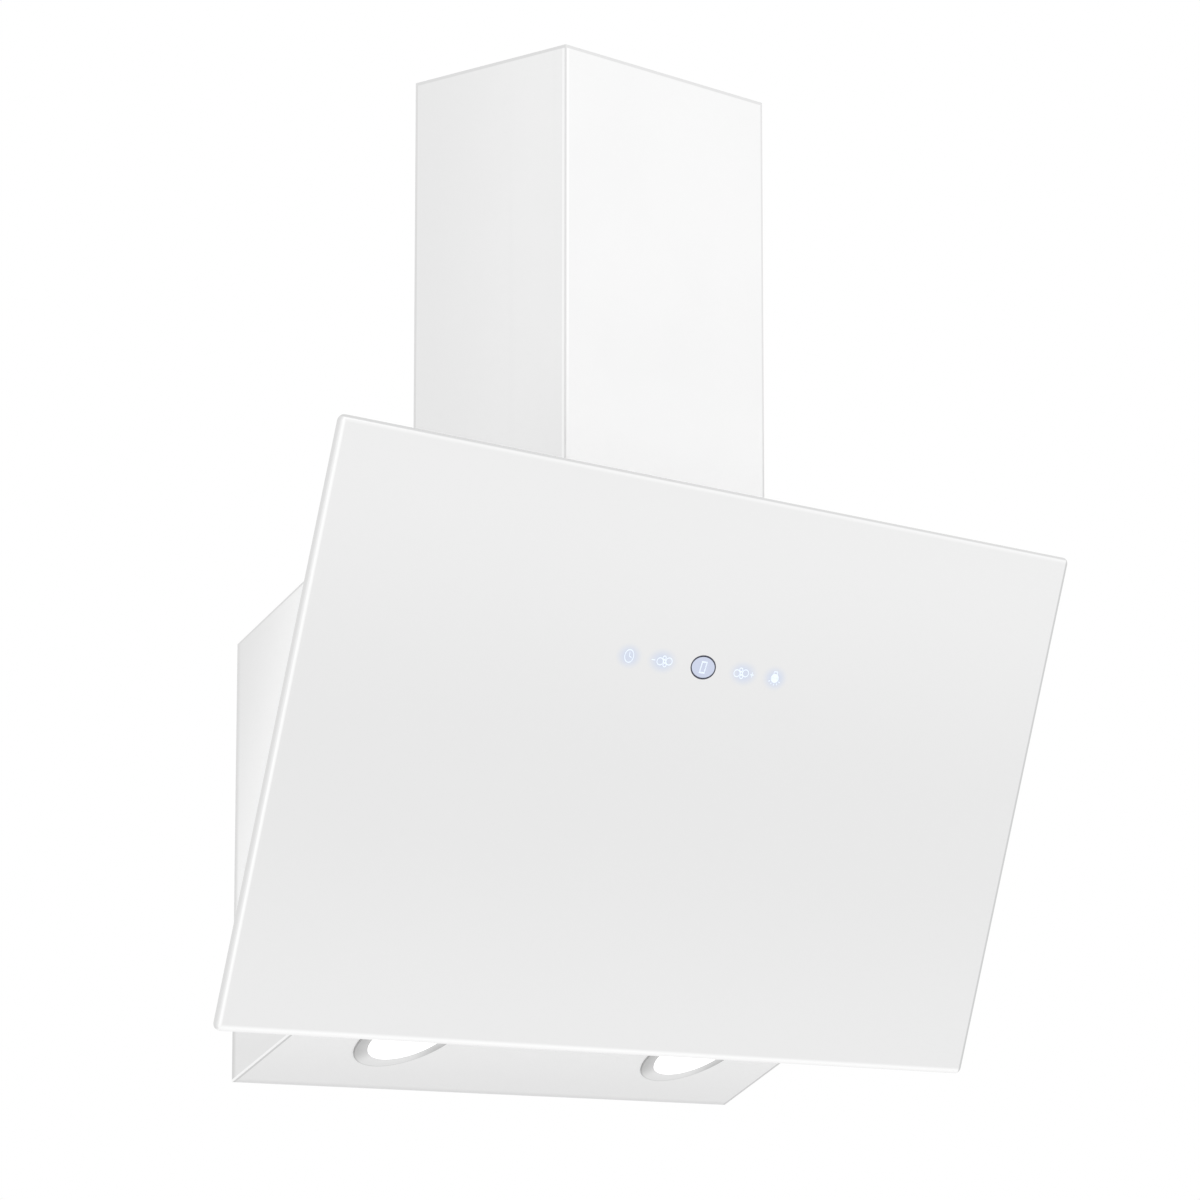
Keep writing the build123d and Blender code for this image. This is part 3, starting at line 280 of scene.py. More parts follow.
def toneSides(graph, colour, place):  # painted shade, darker towards the wall
    y, z = graph.split(place)[1:]
    behindDoor = y * math.cos(lean) + z * math.sin(lean)
    # painted shading: lighter near the door, darker far behind it and in the lower back corner
    colour = graph.blendColour(graph.step(behindDoor, *shell["sideReach"]), *shell["sideTones"])
    corner = graph.fade(z, *shell["cornerReach"])
    colour = graph.blendColour(corner, colour, shell["cornerTone"])
    # painted shade along the sheet's end at the wall
    atWall = graph.fade(-1 * y, *enamel["wallReach"])
    colour = graph.blendColour(atWall, colour, graph.blendColour(corner, *shell["wallTones"]))
    # painted shade line along the top, painted highlight line along the bottom fold
    top = fromSlope(shell["back"] - z - y * shell["topSlope"], shell["topSlope"])
    bottom = fromSlope(z + y * shell["bottomSlope"], shell["bottomSlope"])
    dark = graph.fade(graph.math("MINIMUM", top, shell["top"] - z), *inWidths(shell["topLine"]))
    return edgeLines(graph, colour, graph.fade(bottom, *inWidths(shell["bottomLine"])), dark)


def toneBottom(graph, colour, place):
    x, y = graph.split(place)[:2]
    # painted shading, darker at the wall than at the front
    colour = graph.blendColour(graph.step(-1 * y, *shell["bottomReach"]), *shell["bottomTones"])
    seam = graph.step(abs(x), *(shell["inside"] - inset for inset in inWidths(shell["seamLine"])))
    # painted shade along the wall, and the seams beside the sides
    return edgeLines(graph, colour, dark=graph.fade(-1 * y, *enamel["wallReach"]), seam=seam)


def enamelPaint(toneSheet):
    def paint(graph):
        place = graph.place()
        cloud = graph.step(graph.noise(place, enamel["cloudScale"], 3.0), 0.35, 0.65)
        colour = graph.blendColour(cloud, enamel["shade"], enamel["white"])
        if toneSheet:
            colour = toneSheet(graph, colour, place)
        return {
            "Base_Color": colour,
            "Roughness": enamel["roughness"] + 0.05 * graph.noise(place, 60.0, 3.0),
            "Normal": graph.bump(graph.noise(place, enamel["peelScale"]), enamel["peelDepth"], 0.5),
        }
    return paint


for name, toneSheet in (("whiteEnamel", None), ("chimneyEnamel", toneChimney),
                        ("sideEnamel", toneSides), ("bottomEnamel", toneBottom)):
    makeFinish(name, enamelPaint(toneSheet), Specular_IOR_Level=0.4)


# The door's glass: a white pane with round polished edges

door = {
    "width": 0.898,
    "height": 0.472,
    "thickness": 0.008,
    "corner": 0.006,
    "leastCorner": 0.0012,
    "round": 0.0034,  # radius of the polished edge
    "roundStep": 10,  # degrees
    "flatLoops": (0.004, 0.0006),  # loops beside the round that keep the faces flat
    "reach": 0.1485,  # wall to the lower front edge
    "lift": 0.0277,
    "faces": (0.809, 0.783, 0.827),  # painted shading: tone at the bottom, middle and top
    "faceReach": ((0.02, 0.20), (0.24, 0.46)),  # heights up the pane between them
    "drift": 0.02,
    "highlight": 0.97,  # painted highlight: fine light lines beside the edges
    "line": ((0.0005, 0.0013), (0.0018, 0.0042)),  # at the sides: where it starts and where it ends
    "lineEnd": (0.006, 0.010),  # none at the right
    # painted highlight along the top
    "topLine": ((0.0016, 0.0028), (0.0030, 0.0058)),
    "topLineShare": 0.45,
    "lineDepth": (-0.0030, -0.0016),
    "foot": (0.9, 1.8),  # painted highlight: the lower edge is light all round, in radii of the round
    "sides": (0.72, 0.87),  # grey ground side of the edge, with painted shade darker at its back; from its back to its front
    "sideReach": (0.0018, 0.0026),
    "sideDepth": (-0.0016, -0.0008),
    "sideBack": 0.0057,
    "sideSpan": 0.0045,
    # painted shade: thin dark line along the top edge
    "topRim": 0.64,
    "topRimReach": (0.0012, 0.0024),
    "rim": 0.59,  # painted shade: thin dark line at the right
    "rimReach": (0.0042, 0.0054),
    "rimDepth": (-0.0017, -0.0011),
    "faceDepth": (-0.0005, -0.0001),
    "control": 0.326,  # centre of the touch control, up the pane
    # painted glow about the lit symbols
    "halo": (0.63, 0.69, 0.83),
    "halos": ((-0.090, 0.0175), (-0.050, 0.0205), (0.050, 0.0205), (0.090, 0.0175)),  # place, half width
    "haloHeight": 0.0120,
    "haloShare": 0.9,
    # painted glow inside the display's ring
    "display": (0.60, 0.65, 0.80),
    "displayReach": (0.0142, 0.0088),
}

upPane = Vector((0.0, -math.sin(lean), math.cos(lean)))
outOfPane = Vector((0.0, -math.cos(lean), -math.sin(lean)))
paneOrigin = Vector((0.0, -door["reach"], door["lift"]))
paneFrame = Matrix((
    (1.0, upPane.x, outOfPane.x, paneOrigin.x),
    (0.0, upPane.y, outOfPane.y, paneOrigin.y),
    (0.0, upPane.z, outOfPane.z, paneOrigin.z),
    (0.0, 0.0, 0.0, 1.0),
))


def paneCoordinates(graph, place):  # across, up and out of the pane
    moved = graph.vector("SUBTRACT", place, tuple(paneOrigin))
    up = graph.vector("DOT_PRODUCT", moved, tuple(upPane), name="Value")
    out = graph.vector("DOT_PRODUCT", moved, tuple(outOfPane), name="Value")
    return graph.split(place)[0], up, out


def strip(graph, value, starts, ends):
    return graph.step(value, *starts) * graph.fade(value, *ends)


def fromControl(x, up, wide, tall):  # 1 on an oval about a symbol
    across, rise = x / wide, (up - door["control"]) / tall
    return (across * across + rise * rise) ** 0.5


def paintPane(graph):
    place = graph.place()
    x, up, out = paneCoordinates(graph, place)
    fromSide, fromRight = door["width"] / 2 - abs(x), door["width"] / 2 - x
    above = door["height"] - up
    # painted shading: the face lighter at the bottom and the top than in the middle
    low, middle, high = door["faces"]
    height = up + door["drift"] * graph.noise(place, 5.0)
    colour = graph.blendColour(graph.step(height, *door["faceReach"][0]), low, middle)
    colour = graph.blendColour(graph.step(height, *door["faceReach"][1]), colour, high)

    # painted highlight lines beside the sides, the top and the lower edge
    line = strip(graph, fromSide, *door["line"]) * graph.step(fromRight, *door["lineEnd"])
    line = graph.larger(line, strip(graph, above, *door["topLine"]) * door["topLineShare"])
    foot = graph.fade(up, *(door["round"] * share for share in door["foot"]))
    bright = graph.larger(line * graph.step(out, *door["lineDepth"]), foot)
    colour = graph.blendColour(bright, colour, door["highlight"])
    # the ground edge's own grey, with painted shade darker towards its back
    ground = graph.fade(fromSide, *door["sideReach"]) * graph.fade(out, *door["sideDepth"])
    forward = graph.math("MINIMUM", (out + door["sideBack"]) / door["sideSpan"], 1.0)
    side = graph.blendColour(graph.larger(forward, 0.0) ** 3, *door["sides"])
    colour = graph.blendColour(ground, colour, side)
    # painted shade: dark line along the top edge
    top = graph.fade(above, *door["topRimReach"])
    colour = graph.blendColour(top, colour, door["topRim"])
    # painted shade: dark line at the right
    right = graph.fade(fromRight, *door["rimReach"]) * graph.step(out, *door["rimDepth"])
    colour = graph.blendColour(right, colour, door["rim"])

    atFace = graph.step(out, *door["faceDepth"])  # the painted glow of the lit control shows on the face alone
    # painted glow about each lit symbol
    halo = 0.0
    for middle, wide in door["halos"]:
        away = fromControl(x - middle, up, wide, door["haloHeight"])
        halo = graph.larger(halo, graph.fade(away, 0.2, 1.0))
    colour = graph.blendColour(halo * atFace * door["haloShare"], colour, door["halo"])
    # painted glow inside the display's ring
    shown = graph.fade(fromControl(x, up, *door["displayReach"]), 0.98, 1.02)
    return {
        "Base_Color": graph.blendColour(shown * atFace, colour, door["display"]),
        "Roughness": 0.05 + 0.03 * graph.noise(place, 40.0),
        "Normal": graph.bump(graph.noise(place, 30.0, 1.0), 0.00002, 0.3),
    }


def paintPaneBack(graph):
    grain = graph.noise(graph.place(), 300.0, 3.0)
    return {
        "Base_Color": graph.blendColour(grain, 0.80, 0.84),
        "Roughness": 0.5 + 0.1 * grain,
        "Normal": graph.bump(grain, 0.00003, 0.4),
    }


makeFinish("whiteGlass", paintPane, IOR=1.5)
makeFinish("backPaint", paintPaneBack)


def outlinePoints(width, height, radius, steps=10):  # a rounded rectangle, from its upper right
    points = []
    for cx, cy, start in ((1, 1, 0), (-1, 1, 90), (-1, -1, 180), (1, -1, 270)):
        for i in range(steps + 1):
            angle = math.radians(start + 90 * i / steps)
            x = cx * (width / 2 - radius) + radius * math.cos(angle)
            y = cy * (height / 2 - radius) + radius * math.sin(angle)
            points.append((x, y))
    return points


creaseAngle = math.radians(40)  # sharper edges stay crisp


def newPiece(name, mesh, body, finish=None):
    piece = newObject(name, mesh)
    if finish:
        mesh.materials.append(finishes[finish])
    mesh.shade_smooth()
    mesh.set_sharp_from_angle(angle=creaseAngle)
    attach(piece, body)
    return piece


def paneProfile():  # inset and height of each loop, from front to back
    radius, thick = door["round"], door["thickness"]
    loops = [radius + inset for inset in door["flatLoops"]]
    turns = [math.radians(degrees) for degrees in range(0, 91, door["roundStep"])]
    profile = [(inset, 0.0) for inset in loops]
    profile += [(radius - radius * math.sin(a), radius * math.cos(a) - radius) for a in turns]
    profile += [(radius - radius * math.cos(a), radius - radius * math.sin(a) - thick) for a in turns]
    return profile + [(inset, -thick) for inset in reversed(loops)]


def makePane():
    shape = bmesh.new()
    rings = []
    for inset, out in paneProfile():
        corner = max(door["corner"] - inset, door["leastCorner"])
        outline = outlinePoints(door["width"] - 2 * inset, door["height"] - 2 * inset, corner)
        rings.append([shape.verts.new((x, y + door["height"] / 2, out)) for x, y in outline])
    count = len(rings[0])
    for first, second in zip(rings, rings[1:]):
        for i in range(count):
            j = (i + 1) % count
            shape.faces.new((first[i], second[i], second[j], first[j]))
    shape.faces.new(rings[0])
    shape.faces.new(list(reversed(rings[-1]))).material_index = 1
    bmesh.ops.recalc_face_normals(shape, faces=shape.faces)
    shape.transform(paneFrame)
    mesh = bpy.data.meshes.new("glass_pane")
    shape.to_mesh(mesh)
    shape.free()
    pane = newPiece("glass_pane", mesh, "glass_door", "whiteGlass")
    mesh.materials.append(finishes["backPaint"])
    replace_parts(pane, "glass_panel")


makePane()
print("glass pane made")


# Lit symbols behind the glass and the printed ring, drawn in millimetres about their middles

symbols = {
    "unit": 0.001,
    "stroke": 0.00042,  # half width of the lines
    "level": 0.00004,  # above the glass
    "flatness": 0.25,  # the lines stand 0.1 mm proud
    "light": (0.80, 0.88, 1.0),
    "strength": 0.15,
    "ring": (14.7, 9.3),
    "ringLine": 0.0007,
    "digit": (3.2, 4.8),
    "digitLine": 0.7,
    "slant": 0.12,
}


def paintSymbol(graph):
    flicker = graph.noise(graph.place(), 900.0)
    light = symbols["light"]
    return {
        "Base_Color": graph.blendColour(flicker, (0.78, 0.86, 0.98), (0.84, 0.91, 1.0)),
        "Emission_Color": graph.blendColour(flicker, [0.94 * part for part in light], light),
        "Roughness": 0.2 + 0.1 * flicker,
    }


def paintInk(graph):
    grain = graph.noise(graph.place(), 2500.0)
    return {
        "Base_Color": graph.blendColour(grain, (0.010, 0.013, 0.035), (0.022, 0.026, 0.055)),
        "Roughness": 0.28 + 0.1 * grain,
    }


makeFinish("symbolLight", paintSymbol, Emission_Strength=symbols["strength"])
makeFinish("ringInk", paintInk)


def ovalPath(cx, cy, rx, ry, steps=32):  # a path is its points and whether it closes
    turns = [2 * math.pi * i / steps for i in range(steps)]
    return [(cx + rx * math.cos(a), cy + ry * math.sin(a)) for a in turns], True


def linePath(*points):
    return list(points), False


def clockPaths():
    return [ovalPath(0, 0, 5.2, 5.2), linePath((0, 3.4), (0, 0), (2.9, -1.0))]


def fanPaths(side):  # four blades, and a plus or a minus outside them
    middle, sign = -2.6 * side, 10.9 * side
    paths = [ovalPath(middle, 0, 1.2, 1.2, 16)]
    paths += [ovalPath(middle + turn * 5.3, 0.5 * turn, 3.7, 2.9) for turn in (-1, 1)]
    paths += [ovalPath(middle - 0.8 * turn, turn * 2.9, 1.9, 1.5, 20) for turn in (-1, 1)]
    paths.append(linePath((sign - 2.1, 0), (sign + 2.1, 0)))
    if side > 0:
        paths.append(linePath((sign, -2.1), (sign, 2.1)))
    return paths


def bulbPaths():  # a filled bulb, its cap and rays
    paths = [ovalPath(0, 0, radius * 1.35, radius, 20) for radius in (3.4, 2.7, 2.0, 1.3, 0.6)]
    paths += [linePath((x, 3.2), (x, 5.6)) for x in (-2.2, 2.2)]
    paths.append(linePath((-2.2, 5.6), (2.2, 5.6)))
    for angle in range(-150, -29, 30):
        dx, dy = 1.35 * math.cos(math.radians(angle)), math.sin(math.radians(angle))
        paths.append(linePath((4.6 * dx, 4.6 * dy), (6.0 * dx, 6.0 * dy)))
    return paths


def digitPaths():  # a slanted nought, two lines wide
    wide, tall = symbols["digit"]
    return [([(a * (wide - inset) + b * tall * symbols["slant"], b * (tall - inset))
              for a, b in ((-1, -1), (1, -1), (1, 1), (-1, 1))], True)
            for inset in (0.0, symbols["digitLine"])]


def evaluatedMesh(holder):  # what its curve or modifier makes, as a plain mesh
    bpy.context.view_layer.update()
    mesh = bpy.data.meshes.new_from_object(holder.evaluated_get(bpy.context.evaluated_depsgraph_get()))
    holder.modifiers.clear()
    bpy.data.objects.remove(holder)
    return mesh


def strokeMesh(name, paths, across, width):  # round lines half sunk in the glass
    curve = bpy.data.curves.new(name + "Lines", "CURVE")
    curve.dimensions = "3D"
    curve.bevel_depth = width
    curve.bevel_resolution = 1
    curve.use_fill_caps = True
    for path, closed in paths:
        spline = curve.splines.new("POLY")
        spline.points.add(len(path) - 1)
        for point, (x, y) in zip(spline.points, path):
            point.co = (across + x * symbols["unit"], door["control"] + y * symbols["unit"], 0.0, 1.0)
        spline.use_cyclic_u = closed
    mesh = evaluatedMesh(newObject(name + "Lines", curve))
    bpy.data.curves.remove(curve)
    flatten = Matrix.Diagonal((1.0, 1.0, symbols["flatness"], 1.0))
    mesh.transform(paneFrame @ Matrix.Translation((0, 0, symbols["level"])) @ flatten)
    mesh.name = name
    return mesh


def makeSymbols():
    drawings = {
        "timer_symbol": clockPaths(),
        "slower_symbol": fanPaths(-1),
        "faster_symbol": fanPaths(1),
        "lamp_symbol": bulbPaths(),
        "speed_digit": digitPaths(),
    }
    places = [middle for middle, wide in door["halos"]] + [0.0]
    for (name, paths), across in zip(drawings.items(), places):
        mesh = strokeMesh(name, paths, across, symbols["stroke"])
        piece = newPiece(name, mesh, "glass_door", "symbolLight")
        if name == "timer_symbol":
            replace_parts(piece, "touch_icons")
        if name == "speed_digit":
            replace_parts(piece, "display_digit")
    ringMesh = strokeMesh("speed_ring", [ovalPath(0, 0, *symbols["ring"], 72)], 0.0, symbols["ringLine"])
    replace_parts(newPiece("speed_ring", ringMesh, "glass_door", "ringInk"), "display_ring")


makeSymbols()
print("touch symbols made")


# Lamps

lamp = {
    "spread": 0.343,
    "fromWall": 0.085,  # up the sloping bottom
    "lensRadius": 0.0376,
    "lensRim": 0.86,  # of the radius, where the light begins to fall off
    "rimShare": 0.7,
    "ringRadius": 0.0495,
    "dish": 0.9,  # share of the ring's width over which the painted light spill from the lens fades
    # painted shade line on the ring's outer rim
    "rimLine": (0.0016, 0.0008),
    "light": (1.0, 0.995, 0.98),
    "strength": 0.75,
    "ringPlain": (0.670, 0.529, 0.410),  # painted light spill and shade: tone at the lens, at the rim and on the rim's line
    "ringLit": (0.840, 0.800, 0.605),  # the same, with painted light, on the side towards the wall
    "ringShade": (0.600, 0.490, 0.360),  # and with painted shade on the left side
    "turned": 0.594,
    "sideReach": (0.35, 0.85),
}

slope = math.atan(shell["bottomSlope"])
lampUp = (0.0, -math.cos(slope), math.sin(slope))


def lampCoordinates(graph, place):  # about the nearest lamp: radius, shares towards wall and left
    x = graph.split(place)[0]
    across = abs(x) - lamp["spread"] / 2
    up = graph.vector("DOT_PRODUCT", place, lampUp, name="Value") - lamp["fromWall"]
    radius = (across * across + up * up) ** 0.5
    safe = graph.larger(radius, 0.001)
    return radius, -1 * up / safe, -1 * across * graph.math("SIGN", x) / safe


def paintLens(graph):
    place = graph.place()
    radius = lampCoordinates(graph, place)[0]
    grain = graph.noise(place, 500.0)
    rim = graph.step(radius, lamp["lensRadius"] * lamp["lensRim"], lamp["lensRadius"])
    light = lamp["light"]
    return {
        "Base_Color": graph.blendColour(grain, 0.93, 0.97),
        "Emission_Color": graph.blendColour(rim, light, [lamp["rimShare"] * part for part in light]),
        "Roughness": 0.35 + 0.15 * grain,
        "Normal": graph.bump(grain, 0.00004, 0.5),
    }


def paintLampRing(graph):
    place = graph.place()
    radius, wallward, leftward = lampCoordinates(graph, place)
    rings = graph.math("SINE", radius * 9000.0)
    # painted light on the side towards the wall, painted shade on the left side
    lit, shaded = (graph.step(side, *lamp["sideReach"]) for side in (wallward, leftward))
    tones = []
    for plain, bright, dark in zip(lamp["ringPlain"], lamp["ringLit"], lamp["ringShade"]):
        tone = graph.blendColour(lit, plain, bright)
        tones.append(graph.blendColour(shaded, tone, dark))
    # painted light spill: lighter near the lens
    width = (lamp["ringRadius"] - lamp["lensRadius"]) * lamp["dish"]
    dish = graph.step(radius, lamp["lensRadius"], lamp["lensRadius"] + width)
    # painted shade line on the ring's rim
    rim = graph.step(radius, *(lamp["ringRadius"] - inset for inset in lamp["rimLine"]))
    colour = graph.blendColour(rim, graph.blendColour(dish, tones[0], tones[1]), tones[2])
    return {
        "Base_Color": graph.blendColour(graph.noise(place, 180.0) * 0.1, colour, lamp["turned"]),
        "Roughness": 0.38 + 0.05 * rings,
        "Normal": graph.bump(rings, 0.00001, 0.3),
    }


def paintCasting(graph):
    grain = graph.noise(graph.place(), 900.0, 4.0, 0.6)
    return {
        "Base_Color": graph.blendColour(grain, 0.46, 0.62),
        "Roughness": 0.42 + 0.2 * grain,
        "Normal": graph.bump(grain, 0.00012, 0.6),
    }


makeFinish("lampLens", paintLens, Emission_Strength=lamp["strength"])
makeFinish("lampRing", paintLampRing, Specular_IOR_Level=0.5)
makeFinish("lampCasting", paintCasting, Metallic=0.85)


# Metals, plastics and rubber of the hidden pieces

def paintZinc(graph):
    place = graph.place()
    shine = graph.noise(graph.cells(place, 260.0, output="Color"), 3.0, 1.0)
    scratch = graph.noise(graph.stretch(place, (40.0, 900.0, 900.0)), 1.0, 3.0)
    return {
        "Base_Color": graph.blendColour(shine, (0.52, 0.54, 0.56), (0.70, 0.71, 0.72)),
        "Roughness": 0.30 + 0.18 * shine + 0.06 * scratch,
        "Normal": graph.bump(scratch, 0.00002, 0.4),
    }


def paintGalvanised(graph):  # spangled sheet
    place = graph.place()
    scale = 85.0
    tone = graph.noise(graph.cells(place, scale, output="Color"), 4.0, 1.0)
    edges = graph.cells(place, scale, "DISTANCE_TO_EDGE")
    return {
        "Base_Color": graph.blendColour(tone, (0.55, 0.57, 0.60), (0.74, 0.76, 0.78)),
        "Roughness": 0.32 + 0.25 * tone,
        "Normal": graph.bump(graph.step(edges, 0.0, 0.06), 0.00004, 0.5),
    }


def paintAluminium(graph):
    place = graph.place()
    rolled = graph.noise(graph.stretch(place, (30.0, 700.0, 700.0)), 1.0, 4.0)
    tone = rolled * 0.6 + graph.noise(place, 25.0, 3.0) * 0.4
    return {
        "Base_Color": graph.blendColour(tone, (0.66, 0.67, 0.68), (0.80, 0.81, 0.82)),
        "Roughness": 0.26 + 0.14 * rolled,
        "Normal": graph.bump(rolled, 0.00002, 0.4),
    }


def plasticPaint(dark, light, grainScale, grainDepth, rough):
    def paint(graph):
        place = graph.place()
        grain = graph.noise(place, grainScale, 3.0, 0.6)
        return {
            "Base_Color": graph.blendColour(grain * 0.5 + graph.noise(place, 14.0) * 0.5, dark, light),
            "Roughness": rough + 0.12 * grain,
            "Normal": graph.bump(grain, grainDepth, 0.6),
        }
    return paint


def paintBoard(graph):
    place = graph.place()
    flat = graph.stretch(place, (1.0, 1.0, 1.0), turn=(math.pi / 2 + lean, 0, 0))
    tracks = graph.node("ShaderNodeTexBrick", {"offset": 0.37, "squash": 1.6}, Vector=flat, Scale=60.0,
                        Mortar_Size=0.035, Color1=0.0, Color2=0.0, Mortar=1.0)
    copper = graph.out(tracks, "Color")
    pads = graph.fade(graph.cells(place, 210.0), 0.10, 0.16)
    mask = graph.blendColour(copper, (0.012, 0.13, 0.055), (0.03, 0.25, 0.10))
    return {
        "Base_Color": graph.blendColour(pads, mask, (0.62, 0.60, 0.55)),
        "Metallic": pads,
        "Roughness": 0.32 + 0.1 * graph.noise(place, 300.0),
        "Normal": graph.bump(copper, 0.00003, 0.5),
    }


motor = {"stack": (-0.070, -0.024), "stackSoft": 0.0006, "sheet": 0.001}  # laminations along the shaft
capacitor = {"band": (0.236, 0.239), "bandSoft": 0.0004}


def paintMotor(graph):
    place = graph.place()
    x = graph.split(place)[0]
    sheets = graph.math("SINE", x * (2 * math.pi / motor["sheet"]))
    stack = graph.band(x, *motor["stack"], motor["stackSoft"])
    grain = graph.noise(place, 400.0, 3.0)
    colour = graph.blendColour(grain, (0.07, 0.075, 0.08), (0.11, 0.115, 0.12))
    metal = graph.blendColour(sheets * 0.5 + 0.5, (0.20, 0.19, 0.18), (0.34, 0.33, 0.32))
    return {
        "Base_Color": graph.blendColour(stack, colour, metal),
        "Metallic": stack * 0.9,
        "Roughness": 0.40 + 0.12 * grain,
        "Normal": graph.bump(sheets * stack, 0.00015, 0.6),
    }


def paintCapacitor(graph):
    place = graph.place()
    grain = graph.noise(place, 200.0)
    band = graph.band(graph.split(place)[2], *capacitor["band"], capacitor["bandSoft"])
    colour = graph.blendColour(grain, (0.78, 0.77, 0.73), (0.86, 0.85, 0.81))
    return {
        "Base_Color": graph.blendColour(band, colour, (0.10, 0.10, 0.11)),
        "Roughness": 0.25 + 0.1 * grain,
    }


makeFinish("zincSteel", paintZinc, Metallic=1.0)
makeFinish("galvanisedSheet", paintGalvanised, Metallic=1.0)
makeFinish("filterAluminium", paintAluminium, Metallic=1.0)
makeFinish("circuitBoard", paintBoard)
makeFinish("motorSteel", paintMotor)
makeFinish("capacitorCan", paintCapacitor)

moulded = {  # darkest and lightest colour, grain per metre, its depth and the roughness
    "latchPlastic": ((0.085, 0.09, 0.10), (0.12, 0.125, 0.135), 900.0, 0.00005, 0.42),
    "greyPlastic": ((0.50, 0.50, 0.49), (0.58, 0.58, 0.57), 900.0, 0.00005, 0.45),
    "magnetBlock": ((0.03, 0.03, 0.032), (0.05, 0.05, 0.052), 700.0, 0.00003, 0.3),
    "blowerPlastic": ((0.022, 0.022, 0.024), (0.036, 0.036, 0.038), 800.0, 0.00006, 0.48),
    "ductPlastic": ((0.014, 0.014, 0.016), (0.024, 0.024, 0.026), 800.0, 0.00006, 0.44),
    "rubberGrey": ((0.012, 0.012, 0.012), (0.02, 0.02, 0.02), 1200.0, 0.00008, 0.75),
    "cableGrey": ((0.40, 0.40, 0.39), (0.46, 0.46, 0.45), 1500.0, 0.00003, 0.55),
    "screwPaint": ((0.80, 0.80, 0.80), (0.86, 0.86, 0.86), 1200.0, 0.00002, 0.3),
}
for name, values in moulded.items():
    makeFinish(name, plasticPaint(*values))

finishOfSlot = {
    "white_screw": "screwPaint",
    "icon_light": "symbolLight",
    "lamp_bezel_grey": "lampRing",
    "lamp_lens_white": "lampLens",
}
finishOfNode = {
    "chimney_cover": "chimneyEnamel",
    "chimney_inner_cover": "chimneyEnamel",
    "side_panel_left": "sideEnamel",
    "side_panel_right": "sideEnamel",
    "light_panel": "bottomEnamel",
}


def finishName(node):  # a slot called duct_plastic wears ductPlastic
    slotName = slotOf[node]
    first, *others = slotName.split("_")
    plain = first + "".join(word.title() for word in others)
    return finishOfNode.get(node, finishOfSlot.get(slotName, plain))


for name, piece in nodes.items():
    for slot in piece.material_slots:
        slot.material = finishes[finishName(name)]
print("finishes assigned:", len(finishes))


# Shapes grown by Geometry Nodes: a tree with named sizes, run once and kept as a plain mesh

socketKinds = {int: "NodeSocketInt", float: "NodeSocketFloat", tuple: "NodeSocketVector",
               bpy.types.Material: "NodeSocketMaterial"}


class Recipe(Graph):
    def __init__(self, name, sizes):
        super().__init__(bpy.data.node_groups.new(name, "GeometryNodeTree"))
        self.sizes = sizes
        sockets = self.tree.interface
        for way in ("INPUT", "OUTPUT"):
            sockets.new_socket("Geometry", in_out=way, socket_type="NodeSocketGeometry")
        for label, value in sizes.items():
            sockets.new_socket(label, in_out="INPUT", socket_type=socketKinds[type(value)])
        self.given = self.node("NodeGroupInput")

    def size(self, label):
        return self.out(self.given, label)

    def shape(self, kind, settings=None, **sockets):
        return self.out(self.node("GeometryNode" + kind, settings, **sockets))

    def point(self, x, y, z):
        return self.out(self.node("ShaderNodeCombineXYZ", X=x, Y=y, Z=z))

    def moved(self, shape, shift, turn=(0, 0, 0)):
        return self.shape("Transform", Geometry=shape, Translation=shift, Rotation=turn)

    def lifted(self, shape, *heights):  # a copy at each height
        return [self.moved(shape, self.point(0.0, 0.0, height)) for height in heights]

    def joined(self, *shapes):
        return self.shape("JoinGeometry", Geometry=list(shapes))

    def bar(self, path, wide, tall):  # a flat bar along a path, closed at its ends
        profile = self.shape("CurvePrimitiveQuadrilateral", Width=wide, Height=tall)
        return self.shape("CurveToMesh", Curve=path, Profile_Curve=profile, Fill_Caps=True)

    def hoop(self, inner, outer, length, steps=72):  # a flat ring about Z
        circle = self.shape("CurvePrimitiveCircle", Resolution=steps, Radius=(inner + outer) * 0.5)
        return self.bar(circle, outer - inner, length)

    def scatter(self, points, shape, **turnAndScale):
        return self.shape("InstanceOnPoints", Points=points, Instance=shape, **turnAndScale)

    def finish(self, shape):
        real = self.shape("RealizeInstances", Geometry=shape)
        coated = self.shape("SetMaterial", Geometry=real, Material=self.size("finish"))
        self.node("NodeGroupOutput", Geometry=coated)


def grownMesh(recipe, seed=None):
    name = recipe.tree.name
    holder = newObject(name + "Seed", seed or bpy.data.meshes.new(name + "Seed"))
    modifier = holder.modifiers.new("shape", "NODES")
    modifier.node_group = recipe.tree
    for item in recipe.tree.interface.items_tree:
        if item.in_out == "INPUT" and item.name in recipe.sizes:
            modifier[item.identifier] = recipe.sizes[item.name]
    mesh = evaluatedMesh(holder)
    for i in reversed(range(len(mesh.materials))):  # primitives bring an empty slot
        if mesh.materials[i] is None:
            mesh.materials.pop(index=i)
    shape = bmesh.new()
    shape.from_mesh(mesh)
    for face in shape.faces:
        face.material_index = 0
    bmesh.ops.recalc_face_normals(shape, faces=shape.faces)
    shape.to_mesh(mesh)
    shape.free()
    return mesh


# Screws and rivets, each set grown on the seats of its CAD node

screwHead = {  # widths are shares of the head's radius, depths of its height
    "squareness": 0.45,  # 1 is a plain dome, smaller is flatter with a rounder edge
    "recessWidth": 0.24,
    "recessReach": 0.62,
    "recessDepth": 0.7,
}
rivetHead = {
    "squareness": 0.85,
    "holeWidth": 0.34,  # sunk middle of a blind rivet
    "holeDepth": 0.45,
}


